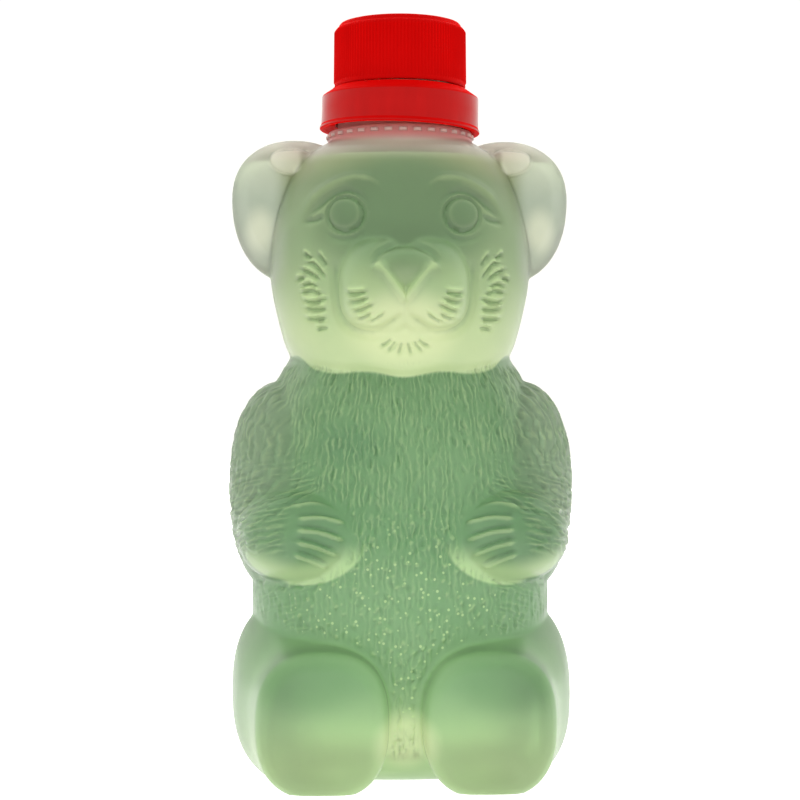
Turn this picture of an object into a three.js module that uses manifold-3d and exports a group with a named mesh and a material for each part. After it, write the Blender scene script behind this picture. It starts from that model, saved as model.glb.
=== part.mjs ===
// A blow-moulded drinks bottle in the shape of a sitting bear, with a threaded neck, a ribbed screw cap, the
// sealing liner inside the cap and the tamper band that stays on the neck.
// Millimetres, +Z up, the bear faces -Y. The origin is at the middle of the base, on the standing plane.
import * as THREE from "three";
import { mergeVertices } from "three/addons/utils/BufferGeometryUtils.js";
import Module from "manifold-3d";

const wasm = await Module();
wasm.setup();

// Walls and clearances
const WALL = 1.1;
const SEAT_GAP = 0.3;
const AXIS_Y = 4; // the upright axis of torso, head and neck lies this far behind the middle of the base

// Torso: its sections are shares of these sizes, rise a share of the neckline's height above the base
const NECKLINE_Z = 97.3;
const TORSO_HALF_WIDTH = 35.2;
const TORSO_FRONT = 31; // reach from the axis to the belly
const TORSO_BACK = 30.9;
const TORSO_TUCK = 12; // how far the torso runs up inside the head
const BASE_ROUNDING = 7;
const TORSO_SHAPE = [
  { rise: 0, half: 0.895, front: 0.823, back: 0.906 },
  { rise: 0.195, half: 0.977, front: 0.948, back: 0.984 },
  { rise: 0.421, half: 1, front: 1, back: 1 },
  { rise: 0.627, half: 0.989, front: 0.981, back: 0.997 },
  { rise: 0.812, half: 0.932, front: 0.903, back: 0.951 },
  { rise: 0.925, half: 0.869, front: 0.806, back: 0.858 },
  { rise: 1, half: 0.75, front: 0.694, back: 0.751 },
  { rise: 1 + TORSO_TUCK / NECKLINE_Z, half: 0.511, front: 0.516, back: 0.55 },
];
const PUSH_UP_DEPTH = 2.4;
const PUSH_UP_HALF_WIDTH = 15;
const PUSH_UP_HALF_DEPTH = 13;

// Head: rise is a share of its height above the underside of the chin
const CHIN_DROP = 4.5; // how far the chin hangs below the neckline
const HEAD_HEIGHT = 57;
const HEAD_HALF_WIDTH = 30.8;
const HEAD_FRONT = 27.4;
const HEAD_BACK = 26.5;
const CHIN_ROUNDING = 4;
const CROWN_ROUNDING = 7;
const HEAD_SHAPE = [
  { rise: 0, half: 0.812, front: 0.931, back: 0.792 },
  { rise: 0.079, half: 0.854, front: 0.971, back: 0.853 },
  { rise: 0.246, half: 0.942, front: 1, back: 0.951 },
  { rise: 0.421, half: 1, front: 0.985, back: 1 },
  { rise: 0.614, half: 0.974, front: 0.949, back: 0.981 },
  { rise: 0.807, half: 0.87, front: 0.832, back: 0.875 },
  { rise: 1, half: 0.669, front: 0.686, back: 0.709 },
];

// Face: heights are measured up from the underside of the chin
const MUZZLE_HEIGHT = 19;
const JOWL_SPACING = 11; // the muzzle is two jowls side by side
const JOWL_HALF_WIDTH = 10;
const MUZZLE_HALF_HEIGHT = 10.6;
const MUZZLE_HALF_DEPTH = 12;
const MUZZLE_PROUD = 6.5;
const NOSE_HEIGHT = 24.6;
const NOSE_HALF_WIDTH = 6.8;
const NOSE_HALF_HEIGHT = 4.6;
const NOSE_HALF_DEPTH = 4;
const NOSE_PROUD = 1.3;
const EYE_HEIGHT = 37;
const EYE_SPACING = 26.4;
const EYE_RADIUS = 4.6;
const EYE_THICKNESS = 3;
const EYE_PROUD = 1.1;

// Ears: rounded lobes on the sides of the head, fuller below than above
const EAR_HEIGHT = 43;
const EAR_HALF_WIDTH = 15;
const EAR_RISE = 14.2;
const EAR_DROP = 20;
const EAR_HALF_DEPTH = 6.4;
const EAR_PROUD = 12.6;
const EAR_BACK = 1;
const EAR_DISH_DEPTH = 2.6; // the front of the ear is dished inside its rim
const EAR_RIM = 4.2;

// Arms: an upper arm down the side, an elbow, and a paw that rests on the belly
const ARM_HEIGHT = 67;
const ARM_HALF_WIDTH = 13.2;
const ARM_HALF_DEPTH = 15.5;
const ARM_HALF_HEIGHT = 25.2;
const ARM_PROUD = 6.2;
const ARM_FORWARD = 6;
const ELBOW_HEIGHT = 56.6;
const ELBOW_RADIUS = 11;
const ELBOW_HALF_DEPTH = 17;
const ELBOW_PROUD = 3.6;
const ELBOW_FORWARD = 15;
const PAW_HEIGHT = 56.6;
const PAW_HALF_WIDTH = 14;
const PAW_HALF_DEPTH = 11.5;
const PAW_HALF_HEIGHT = 10.6;
const PAW_SPACING = 46.4;
const PAW_PROUD = 9;

// Legs: run is a share of the length forwards from the hip; half, top and across are shares of the sizes here
const LEG_LENGTH = 47;
const LEG_HALF_WIDTH = 18.4;
const LEG_HEIGHT = 41.8;
const LEG_SPACING = 42.8; // between the middles of the thighs
const HIP_BACK = 8; // the hip end lies this far behind the axis
const SOLE_ROUNDING = 3.6;
const FLAT_DEPTH = 1.4; // how far the rounded legs are cut flat for standing
const LEG_SHAPE = [
  { run: 0, half: 0.924, top: 0.945, across: 0.963 },
  { run: 0.277, half: 1, top: 1, across: 1 },
  { run: 0.511, half: 0.967, top: 0.885, across: 0.981 },
  { run: 0.723, half: 0.87, top: 0.789, across: 0.916 },
  { run: 1, half: 0.793, top: 0.751, across: 0.864 },
];

// Neck finish: heights are measured up from the crown of the head
const FINISH_HEIGHT = 24.4;
const FINISH_WALL = 2;
const NECK_WALL = 1.6;
const COLLAR_RADIUS = 17.2;
const COLLAR_HEIGHT = 1.9;
const WAIST_RADIUS = 14.9;
const SNAP_BEAD_RADIUS = 16.3;
const SNAP_BEAD_HEIGHT = 6.8;
const SNAP_BEAD_HALF = 0.8;
const WAIST_HEIGHT = 10.2;
const THREAD_ROOT_RADIUS = 12.8;
const MOUTH_CHAMFER = 0.6;
const RIB_RING_COUNT = 32; // short raised dashes round the collar
const RIB_RING_RADIUS = 17.7;
const RIB_RING_THICKNESS = 1.2;

// Thread
const THREAD_PITCH = 4;
const THREAD_TURNS = 1.75;
const THREAD_DEPTH = 1.1;
const THREAD_BASE = 1.9;
const THREAD_CREST = 0.8;
const THREAD_TOP_DROP = 3.4; // the neck thread ends this far under the mouth
const THREAD_STEPS = 22; // per turn

// Screw cap
const CAP_RADIUS = 15.7;
const CAP_DRAFT = 0.15;
const CAP_WALL = 1.4;
const CAP_TOP_THICKNESS = 1.6;
const CAP_CHAMFER = 0.9;
const CAP_SKIRT = 15.3;
const CAP_RIB_COUNT = 90;
const CAP_RIB_DEPTH = 0.28;
const CAP_RIB_MARGIN = 1.1;
const CAP_THREAD_DEPTH = 1.05;
const CAP_THREAD_TURNS = 1.5;

// Sealing liner
const LINER_THICKNESS = 1.4;
const LINER_CLEARANCE = 0.4;

// Tamper band
const BAND_RADIUS = 18.8;
const BAND_WALL = 0.9;
const BAND_HEIGHT = 8.3;
const BAND_SHOULDER_RISE = 1.4; // the shoulder slopes up from the top of the band towards the cap
const BAND_SHOULDER_RADIUS = 15.7;
const BAND_LIP_RADIUS = 15.4;
const BAND_LIP_HEIGHT = 1.7;
const BAND_FLARE = 0.35;
const BAND_FLARE_HEIGHT = 0.9;
const BRIDGE_COUNT = 8;
const BRIDGE_WIDTH = 0.9;

// Fineness of the curved faces
const SKIN = { sides: 32, steps: 9, ball: [16, 9] };
const LINING = { sides: 18, steps: 6, ball: [10, 6] };
const ROUND_SEGMENTS = 44;

// Places that follow from the sizes above
const chinZ = NECKLINE_Z - CHIN_DROP;
const crownZ = chinZ + HEAD_HEIGHT;
const mouthZ = crownZ + FINISH_HEIGHT;
const threadZ = mouthZ - THREAD_TOP_DROP - THREAD_TURNS * THREAD_PITCH;
const linerZ = mouthZ + SEAT_GAP;
const capInnerZ = linerZ + LINER_THICKNESS + SEAT_GAP;
const capTopZ = capInnerZ + CAP_TOP_THICKNESS;
const capSkirtZ = capTopZ - CAP_SKIRT;
const bandZ = crownZ + COLLAR_HEIGHT + SEAT_GAP;
const capBoreRadius = CAP_RADIUS - CAP_WALL;
const mouthRadius = THREAD_ROOT_RADIUS - FINISH_WALL;

// A closed solid from a three.js geometry, with its faces turned outwards
function solid(geometry) {
  const bare = geometry.clone();
  bare.deleteAttribute("normal");
  bare.deleteAttribute("uv");
  const merged = mergeVertices(bare, 1e-4);
  const faces = [];
  for (let i = 0; i < merged.index.count; i += 3) {
    const [a, b, c] = [0, 1, 2].map((k) => merged.index.getX(i + k));
    if (a !== b && b !== c && c !== a) faces.push([a, b, c]);
  }
  const point = (i) => new THREE.Vector3().fromBufferAttribute(merged.attributes.position, i);
  const volume = faces.reduce((sum, [a, b, c]) => sum + point(a).dot(point(b).cross(point(c))), 0);
  const triVerts = new Uint32Array(faces.flatMap(([a, b, c]) => (volume < 0 ? [a, c, b] : [a, b, c])));
  return new wasm.Manifold(
    new wasm.Mesh({ numProp: 3, vertProperties: merged.attributes.position.array, triVerts }),
  );
}

function unite(solids) {
  return solids.reduce((sum, next) => sum.add(next));
}

// A finished piece: a named mesh with its own material
function piece(name, shape, material) {
  const { vertProperties, triVerts } = shape.getMesh();
  const geometry = new THREE.BufferGeometry();
  geometry.setAttribute("position", new THREE.BufferAttribute(vertProperties, 3));
  geometry.setIndex(new THREE.BufferAttribute(triVerts, 1));
  geometry.computeVertexNormals();
  const mesh = new THREE.Mesh(geometry, new THREE.MeshStandardMaterial(material));
  mesh.name = name;
  return mesh;
}

// One measure of a shape's sections, such as their half width, as a smooth function of their place
function smooth(shape, along, key, length, size) {
  const places = shape.map((section) => section[along] * length);
  const values = shape.map((section) => section[key] * size);
  const track = new THREE.CubicInterpolant(places, values, 1);
  return (place) => track.evaluate(THREE.MathUtils.clamp(place, places[0], places.at(-1)))[0];
}

// How far a fillet of radius r draws a section in at distance d from the end face
function fillet(d, r) {
  const left = THREE.MathUtils.clamp(r - d, 0, r);
  return r - Math.sqrt(r * r - left * left);
}

// A rounded body through upright cross-sections: a unit lathe whose rings take the sections' sizes.
// The sections are superellipses of the given power, and fillets round both ends.
function loft({ length, section, power, startRounding, endRounding }, inset, { sides, steps }) {
  const [low, high] = [inset, length - inset];
  const [startFillet, endFillet] = [startRounding, endRounding].map((r) => Math.max(r - inset, WALL / 2));
  const bends = [0, 0.3, 0.62].map((turn) => 1 - Math.cos((turn * Math.PI) / 2));
  const heights = bends.map((share) => low + startFillet * share);
  for (let i = 0; i <= steps; i++) {
    heights.push(THREE.MathUtils.lerp(low + startFillet, high - endFillet, i / steps));
  }
  bends.toReversed().forEach((share) => heights.push(high - endFillet * share));
  const profile = heights.map((s) => new THREE.Vector2(1, s));
  const geometry = new THREE.LatheGeometry(
    [new THREE.Vector2(0, low), ...profile, new THREE.Vector2(0, high)],
    sides,
  );
  const position = geometry.attributes.position;
  const bulge = (v) => Math.sign(v) * Math.abs(v) ** (2 / power);
  for (let i = 0; i < position.count; i++) {
    const [across, s, ahead] = [position.getX(i), position.getY(i), position.getZ(i)];
    const { middle, half, front, back } = section(s);
    const drawn = inset + fillet(s - low, startFillet) + fillet(high - s, endFillet);
    const reach = ahead > 0 ? front : back;
    position.setXYZ(i, middle + (half - drawn) * bulge(across), -(reach - drawn) * bulge(ahead), s);
  }
  return geometry;
}

// An upright form on the bottle's axis, standing at height z
function uprightForm(shape, z, height, sizes, power, startRounding, endRounding) {
  const [half, front, back] = ["half", "front", "back"].map((key) =>
    smooth(shape, "rise", key, height, sizes[key]),
  );
  const section = (s) => ({ middle: 0, half: half(s), front: front(s), back: back(s) });
  const body = { length: height * shape.at(-1).rise, section, power, startRounding, endRounding };
  return {
    halfWidth: (at) => half(at - z),
    frontY: (at, x = 0) => AXIS_Y - front(at - z) * (1 - Math.abs(x / half(at - z)) ** power) ** (1 / power),
    solid: (inset, fineness) => solid(loft(body, inset, fineness).translate(0, AXIS_Y, z)),
  };
}

const torsoSizes = { half: TORSO_HALF_WIDTH, front: TORSO_FRONT, back: TORSO_BACK };
const headSizes = { half: HEAD_HALF_WIDTH, front: HEAD_FRONT, back: HEAD_BACK };
const torso = uprightForm(TORSO_SHAPE, 0, NECKLINE_Z, torsoSizes, 2.3, BASE_ROUNDING, BASE_ROUNDING);
const head = uprightForm(HEAD_SHAPE, chinZ, HEAD_HEIGHT, headSizes, 2.2, CHIN_ROUNDING, CROWN_ROUNDING);

// A rounded lump: an ellipsoid that may be squarer than round seen from the front, and fuller below
function lump({ at, halfWidth, halfDepth, rise, drop = rise, power = 2 }, inset, [across, down]) {
  const geometry = new THREE.SphereGeometry(1, across, down);
  const position = geometry.attributes.position;
  for (let i = 0; i < position.count; i++) {
    const [x, y, z] = [position.getX(i), position.getY(i), position.getZ(i)];
    const r = Math.hypot(x, z);
    const square = r < 1e-6 ? 1 : ((Math.abs(x) / r) ** power + (Math.abs(z) / r) ** power) ** (-1 / power);
    const height = (z > 0 ? rise : drop) - inset;
    position.setXYZ(i, x * square * (halfWidth - inset), y * (halfDepth - inset), z * square * height);
  }
  return solid(geometry.translate(...at));
}

// One leg, lying forwards from the hip to the flat sole
function leg(side, inset, fineness) {
  const sizes = { half: LEG_HALF_WIDTH, top: LEG_HEIGHT, across: LEG_SPACING / 2 };
  const [half, top, across] = ["half", "top", "across"].map((key) =>
    smooth(LEG_SHAPE, "run", key, LEG_LENGTH, sizes[key]),
  );
  const middle = (s) => (top(s) - FLAT_DEPTH) / 2;
  const section = (s) => ({
    middle: side * across(s),
    half: half(s),
    front: middle(s) + FLAT_DEPTH,
    back: top(s) - middle(s),
  });
  const body = {
    length: LEG_LENGTH,
    section,
    power: 2.5,
    startRounding: BASE_ROUNDING,
    endRounding: SOLE_ROUNDING,
  };
  const geometry = loft(body, inset, { sides: fineness.sides * 0.7, steps: fineness.steps * 0.5 });
  const position = geometry.attributes.position;
  for (let i = 0; i < position.count; i++) {
    const [x, up, s] = [position.getX(i), position.getY(i), position.getZ(i)];
    position.setXYZ(i, x, AXIS_Y + HIP_BACK - s, up + middle(s));
  }
  return solid(geometry);
}

// One arm: upper arm, elbow and paw
function arm(side, inset, { ball }) {
  const upperX = torso.halfWidth(ARM_HEIGHT) + ARM_PROUD - ARM_HALF_WIDTH;
  const elbowX = torso.halfWidth(ELBOW_HEIGHT) + ELBOW_PROUD - ELBOW_RADIUS;
  const pawX = PAW_SPACING / 2;
  const pawY = torso.frontY(PAW_HEIGHT, pawX) - PAW_PROUD + PAW_HALF_DEPTH;
  const upper = {
    at: [side * upperX, AXIS_Y - ARM_FORWARD, ARM_HEIGHT],
    halfWidth: ARM_HALF_WIDTH,
    halfDepth: ARM_HALF_DEPTH,
    rise: ARM_HALF_HEIGHT,
    power: 2.3,
  };
  const elbow = {
    at: [side * elbowX, AXIS_Y - ELBOW_FORWARD, ELBOW_HEIGHT],
    halfWidth: ELBOW_RADIUS,
    halfDepth: ELBOW_HALF_DEPTH,
    rise: ELBOW_RADIUS,
  };
  const paw = {
    at: [side * pawX, pawY, PAW_HEIGHT],
    halfWidth: PAW_HALF_WIDTH,
    halfDepth: PAW_HALF_DEPTH,
    rise: PAW_HALF_HEIGHT,
  };
  return unite([upper, elbow, paw].map((form) => lump(form, inset, ball)));
}

function ear(side, inset, { ball }) {
  const z = chinZ + EAR_HEIGHT;
  const x = side * (head.halfWidth(z) + EAR_PROUD - EAR_HALF_WIDTH);
  const y = AXIS_Y + EAR_BACK;
  const lobe = {
    at: [x, y, z],
    halfWidth: EAR_HALF_WIDTH,
    halfDepth: EAR_HALF_DEPTH,
    rise: EAR_RISE,
    drop: EAR_DROP,
    power: 2.2,
  };
  const dish = {
    at: [x, y - EAR_HALF_DEPTH, z],
    halfWidth: EAR_HALF_WIDTH - EAR_RIM,
    halfDepth: EAR_DISH_DEPTH,
    rise: EAR_RISE - EAR_RIM,
    drop: EAR_DROP - EAR_RIM,
    power: 2.2,
  };
  return lump(lobe, inset, ball).subtract(lump(dish, -inset, ball));
}

// The muzzle: two jowls that meet in a crease under the nose
const muzzleZ = chinZ + MUZZLE_HEIGHT;
const muzzleY = head.frontY(muzzleZ) - MUZZLE_PROUD + MUZZLE_HALF_DEPTH;

function jowl(side, inset, { ball }) {
  const form = {
    at: [(side * JOWL_SPACING) / 2, muzzleY, muzzleZ],
    halfWidth: JOWL_HALF_WIDTH,
    halfDepth: MUZZLE_HALF_DEPTH,
    rise: MUZZLE_HALF_HEIGHT,
    power: 2.3,
  };
  return lump(form, inset, ball);
}

// The nose stands on the muzzle
function nose() {
  const climb = (NOSE_HEIGHT - MUZZLE_HEIGHT) / MUZZLE_HALF_HEIGHT;
  const muzzleFront = muzzleY - MUZZLE_HALF_DEPTH * Math.sqrt(1 - climb * climb);
  const form = {
    at: [0, muzzleFront - NOSE_PROUD + NOSE_HALF_DEPTH, chinZ + NOSE_HEIGHT],
    halfWidth: NOSE_HALF_WIDTH,
    halfDepth: NOSE_HALF_DEPTH,
    rise: NOSE_HALF_HEIGHT,
  };
  return lump(form, 0, LINING.ball);
}

// The eyes are low domes on the head
function eye(side) {
  const [x, z] = [EYE_SPACING / 2, chinZ + EYE_HEIGHT];
  const form = {
    at: [side * x, head.frontY(z, x) - EYE_PROUD + EYE_THICKNESS, z],
    halfWidth: EYE_RADIUS,
    halfDepth: EYE_THICKNESS,
    rise: EYE_RADIUS,
  };
  return lump(form, 0, LINING.ball);
}

// The bear's forms, whole, or drawn in by the wall for the space inside
function bear(inset, fineness) {
  const sides = [-1, 1];
  return unite([
    torso.solid(inset, fineness),
    head.solid(inset, fineness),
    ...sides.map((side) => jowl(side, inset, fineness)),
    ...sides.map((side) => ear(side, inset, fineness)),
    ...sides.map((side) => arm(side, inset, fineness)),
    ...sides.map((side) => leg(side, inset, fineness)),
  ]);
}

// A turned solid on the neck's axis from a profile of [radius, height] points
function turned(points, segments = ROUND_SEGMENTS) {
  const profile = points.map(([r, z]) => new THREE.Vector2(r, z));
  return solid(new THREE.LatheGeometry(profile, segments).rotateX(Math.PI / 2).translate(0, AXIS_Y, 0));
}

// A helical ridge on a wall of the given radius: a straight bar bent round the axis, its ends run out
function threadRidge({ radius, outward, depth, startZ, turns }) {
  const sunk = WALL / 3;
  const outline = new THREE.Shape([
    new THREE.Vector2(-sunk, -THREAD_BASE / 2),
    new THREE.Vector2(depth, -THREAD_CREST / 2),
    new THREE.Vector2(depth, THREAD_CREST / 2),
    new THREE.Vector2(-sunk, THREAD_BASE / 2),
  ]);
  const length = turns * 2 * Math.PI;
  const runOut = Math.PI / 6;
  const bar = new THREE.ExtrudeGeometry(outline, {
    depth: length,
    steps: Math.round(turns * THREAD_STEPS),
    bevelEnabled: false,
  });
  const position = bar.attributes.position;
  for (let i = 0; i < position.count; i++) {
    const [height, along, angle] = [position.getX(i), position.getY(i), position.getZ(i)];
    const run = Math.min(1, 0.1 + angle / runOut, 0.1 + (length - angle) / runOut);
    const r = radius + outward * (height > 0 ? height * run : height);
    const z = startZ + along + (THREAD_PITCH * angle) / (2 * Math.PI);
    position.setXYZ(i, r * Math.cos(angle), AXIS_Y + r * Math.sin(angle), z);
  }
  return solid(bar);
}

// A ring of pointed teeth on the neck's axis, standing on height z
function toothedRing({ inner, root, tip, count, z, height }) {
  const points = [];
  for (let i = 0; i < 2 * count; i++) {
    const angle = (Math.PI * i) / count;
    const r = i % 2 === 0 ? root : tip;
    points.push(new THREE.Vector2(r * Math.cos(angle), r * Math.sin(angle)));
  }
  const outline = new THREE.Shape(points);
  outline.holes.push(new THREE.Path().absarc(0, 0, inner, 0, 2 * Math.PI, true));
  const ring = new THREE.ExtrudeGeometry(outline, {
    depth: height,
    bevelEnabled: false,
    curveSegments: ROUND_SEGMENTS / 2,
  });
  return solid(ring.translate(0, AXIS_Y, z));
}

// The neck above the crown: collar, waist with its snap bead, and the threaded finish
function neck() {
  const rootZ = crownZ - CROWN_ROUNDING;
  const beadZ = crownZ + SNAP_BEAD_HEIGHT;
  const tube = turned([
    [0, rootZ],
    [COLLAR_RADIUS, rootZ],
    [COLLAR_RADIUS, crownZ + COLLAR_HEIGHT],
    [WAIST_RADIUS, crownZ + COLLAR_HEIGHT],
    [WAIST_RADIUS, beadZ - SNAP_BEAD_HALF],
    [SNAP_BEAD_RADIUS, beadZ - SNAP_BEAD_HALF / 2],
    [SNAP_BEAD_RADIUS, beadZ + SNAP_BEAD_HALF / 2],
    [WAIST_RADIUS, beadZ + SNAP_BEAD_HALF],
    [THREAD_ROOT_RADIUS, crownZ + WAIST_HEIGHT],
    [THREAD_ROOT_RADIUS, mouthZ - MOUTH_CHAMFER],
    [THREAD_ROOT_RADIUS - MOUTH_CHAMFER, mouthZ],
    [0, mouthZ],
  ]);
  const dashes = toothedRing({
    inner: COLLAR_RADIUS - WALL,
    root: COLLAR_RADIUS - WALL * 0.7,
    tip: RIB_RING_RADIUS,
    count: RIB_RING_COUNT,
    z: crownZ + COLLAR_HEIGHT - 2 * RIB_RING_THICKNESS,
    height: RIB_RING_THICKNESS,
  });
  const thread = threadRidge({
    radius: THREAD_ROOT_RADIUS,
    outward: 1,
    depth: THREAD_DEPTH,
    startZ: threadZ,
    turns: THREAD_TURNS,
  });
  return unite([tube, dashes, thread]);
}

function block(halfX, halfY, halfZ, x, y, z) {
  return solid(new THREE.BoxGeometry(2 * halfX, 2 * halfY, 2 * halfZ).translate(x, y, z));
}

function bottleBody() {
  const far = 4 * TORSO_HALF_WIDTH;
  const below = (z) => block(far, far, far, 0, 0, z - far);
  const pushUp = {
    at: [0, AXIS_Y, 0],
    halfWidth: PUSH_UP_HALF_WIDTH,
    halfDepth: PUSH_UP_HALF_DEPTH,
    rise: PUSH_UP_DEPTH,
  };
  const dent = (grown) => lump(pushUp, -grown, LINING.ball);
  const face = unite([nose(), eye(-1), eye(1)]);
  const outside = bear(0, SKIN).add(face).add(neck()).subtract(below(0)).subtract(dent(0));
  const throatZ = crownZ - CROWN_ROUNDING - WALL;
  const collarZ = crownZ + COLLAR_HEIGHT - NECK_WALL;
  const waistRadius = WAIST_RADIUS - NECK_WALL;
  const bore = turned([
    [0, throatZ],
    [COLLAR_RADIUS - NECK_WALL, throatZ],
    [COLLAR_RADIUS - NECK_WALL, collarZ],
    [waistRadius, collarZ],
    [waistRadius, crownZ + SNAP_BEAD_HEIGHT + SNAP_BEAD_HALF - NECK_WALL],
    [mouthRadius, crownZ + WAIST_HEIGHT - NECK_WALL],
    [mouthRadius, mouthZ + WALL],
    [0, mouthZ + WALL],
  ]);
  const space = bear(WALL, LINING).subtract(below(WALL)).subtract(dent(WALL)).add(bore);
  return outside.subtract(space);
}

function screwCap() {
  const shell = turned([
    [0, capInnerZ],
    [capBoreRadius, capInnerZ],
    [capBoreRadius, capSkirtZ],
    [CAP_RADIUS, capSkirtZ],
    [CAP_RADIUS - CAP_DRAFT, capTopZ - CAP_CHAMFER],
    [CAP_RADIUS - CAP_DRAFT - CAP_CHAMFER, capTopZ],
    [0, capTopZ],
  ]);
  const ribs = toothedRing({
    inner: CAP_RADIUS - CAP_WALL / 2,
    root: CAP_RADIUS - CAP_DRAFT,
    tip: CAP_RADIUS + CAP_RIB_DEPTH,
    count: CAP_RIB_COUNT,
    z: capSkirtZ + CAP_RIB_MARGIN,
    height: CAP_SKIRT - CAP_CHAMFER - 2 * CAP_RIB_MARGIN,
  });
  const thread = threadRidge({
    radius: capBoreRadius,
    outward: -1,
    depth: CAP_THREAD_DEPTH,
    startZ: threadZ + THREAD_PITCH / 2,
    turns: CAP_THREAD_TURNS,
  });
  return unite([shell, ribs, thread]);
}

function capLiner() {
  const radius = capBoreRadius - LINER_CLEARANCE;
  return turned([
    [0, linerZ],
    [radius, linerZ],
    [radius, linerZ + LINER_THICKNESS],
    [0, linerZ + LINER_THICKNESS],
  ]);
}

// The band left on the neck, with the stubs of the bridges that once held it to the cap
function tamperBand() {
  const inner = BAND_RADIUS - BAND_WALL;
  const top = bandZ + BAND_HEIGHT;
  const shoulderZ = top + BAND_SHOULDER_RISE;
  const lipZ = bandZ + BAND_FLARE_HEIGHT;
  const ring = turned([
    [BAND_LIP_RADIUS, lipZ],
    [inner, bandZ],
    [BAND_RADIUS + BAND_FLARE, bandZ],
    [BAND_RADIUS + BAND_FLARE, bandZ + BAND_FLARE_HEIGHT / 2],
    [BAND_RADIUS, lipZ],
    [BAND_RADIUS, top],
    [BAND_SHOULDER_RADIUS, shoulderZ],
    [BAND_SHOULDER_RADIUS, shoulderZ - BAND_WALL],
    [inner, top - BAND_WALL],
    [inner, lipZ + BAND_LIP_HEIGHT],
    [BAND_LIP_RADIUS, bandZ + BAND_LIP_HEIGHT],
    [BAND_LIP_RADIUS, lipZ],
  ]);
  const stubTop = capSkirtZ - SEAT_GAP;
  const stubFoot = top - BAND_WALL / 2 + BAND_SHOULDER_RISE / 2;
  const stubs = Array.from({ length: BRIDGE_COUNT }, (_, i) => {
    const stub = new THREE.BoxGeometry(CAP_WALL / 2, BRIDGE_WIDTH, stubTop - stubFoot);
    stub.translate(BAND_SHOULDER_RADIUS + CAP_WALL / 2, 0, (stubTop + stubFoot) / 2);
    return solid(stub.rotateZ((2 * Math.PI * i) / BRIDGE_COUNT).translate(0, AXIS_Y, 0));
  });
  return unite([ring, ...stubs]);
}

const milkyPlastic = { color: 0x9dbf98, roughness: 0.38, metalness: 0, transparent: true, opacity: 0.8 };
const redPlastic = { color: 0xd80a06, roughness: 0.42, metalness: 0 };
const whiteFoam = { color: 0xece9e2, roughness: 0.85, metalness: 0 };

const bottle = new THREE.Group();
bottle.add(piece("bottle_body", bottleBody(), milkyPlastic));
const closure = new THREE.Group();
closure.add(piece("screw_cap", screwCap(), redPlastic));
closure.add(piece("cap_liner", capLiner(), whiteFoam));
closure.add(piece("tamper_band", tamperBand(), redPlastic));
bottle.add(closure);

export default bottle;
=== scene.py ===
# %% [markdown]
# # A bear-shaped bottle
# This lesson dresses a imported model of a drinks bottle: a sitting bear blown in milky plastic, filled with a
# pale green drink and closed by a red screw cap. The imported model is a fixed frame. It gives the bodies that
# move and the sizes, and every piece made here rides on one of those bodies. Lengths are written in
# millimetres and turned into Blender's metres where a mesh is made.

import math

import bpy
import numpy as np
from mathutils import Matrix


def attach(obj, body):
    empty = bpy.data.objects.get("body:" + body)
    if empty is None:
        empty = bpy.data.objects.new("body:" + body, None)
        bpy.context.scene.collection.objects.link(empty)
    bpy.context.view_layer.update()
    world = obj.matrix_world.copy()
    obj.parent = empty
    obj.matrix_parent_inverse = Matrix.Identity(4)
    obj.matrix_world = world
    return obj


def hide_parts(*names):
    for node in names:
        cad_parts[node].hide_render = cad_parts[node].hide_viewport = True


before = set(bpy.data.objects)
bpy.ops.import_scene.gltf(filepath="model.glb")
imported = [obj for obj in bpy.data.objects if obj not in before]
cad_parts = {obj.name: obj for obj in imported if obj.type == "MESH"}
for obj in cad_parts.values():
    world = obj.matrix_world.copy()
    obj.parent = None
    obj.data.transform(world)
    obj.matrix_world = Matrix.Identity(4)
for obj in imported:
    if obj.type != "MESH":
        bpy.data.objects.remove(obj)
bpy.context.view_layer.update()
MM = 0.001
print("frame nodes:", sorted(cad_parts))

# %% [markdown]
# ## Working by hand, in code
# Every operator in Blender acts on what is selected, so each step first selects one object alone. Two small
# helpers read and write a mesh's points as one array in millimetres, which is quicker than moving points one
# at a time, and one helper adds a modifier and applies it at once.

# %% Helpers for meshes
AXIS_Y = 4.0  # torso, head and neck share an upright axis this far behind the origin


def only(obj):
    bpy.ops.object.select_all(action="DESELECT")
    obj.select_set(True)
    bpy.context.view_layer.objects.active = obj
    return obj


def get_points(obj):
    flat = np.empty(3 * len(obj.data.vertices), np.float32)
    obj.data.vertices.foreach_get("co", flat)
    return flat.reshape(-1, 3).astype(float) / MM


def set_points(obj, points):
    obj.data.vertices.foreach_set("co", (np.asarray(points) * MM).astype(np.float32).ravel())
    obj.data.update()


def get_normals(obj):
    flat = np.empty(3 * len(obj.data.vertices), np.float32)
    obj.data.vertex_normals.foreach_get("vector", flat)
    return flat.reshape(-1, 3).astype(float)


def modify(obj, kind, **settings):
    only(obj)
    modifier = obj.modifiers.new(kind.lower(), kind)
    for key, value in settings.items():
        setattr(modifier, key, value)
    bpy.ops.object.modifier_apply(modifier=modifier.name)
    return obj


def join(name, parts):
    only(parts[0])
    for part in parts[1:]:
        part.select_set(True)
    bpy.ops.object.join()
    parts[0].name = name
    return parts[0]


def clean(obj, merge=0.001):
    only(obj)
    bpy.ops.object.mode_set(mode="EDIT")
    bpy.ops.mesh.select_all(action="SELECT")
    bpy.ops.mesh.remove_doubles(threshold=merge * MM)
    bpy.ops.mesh.normals_make_consistent(inside=False)
    bpy.ops.object.mode_set(mode="OBJECT")
    return obj


# %% [markdown]
# ## The bear's forms
# The real bottle is blown in one mould, so torso, head, ears, arms and legs are one skin. The quickest way to
# such a skin is to model each form as a simple closed body, let them overlap, and fuse them with a voxel
# remesh, which keeps only the outside. Torso, head and legs are sheets rolled up through cross-sections.
# Ears, arms, paws and jowls are spheres that are stretched and made a little square.

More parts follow.
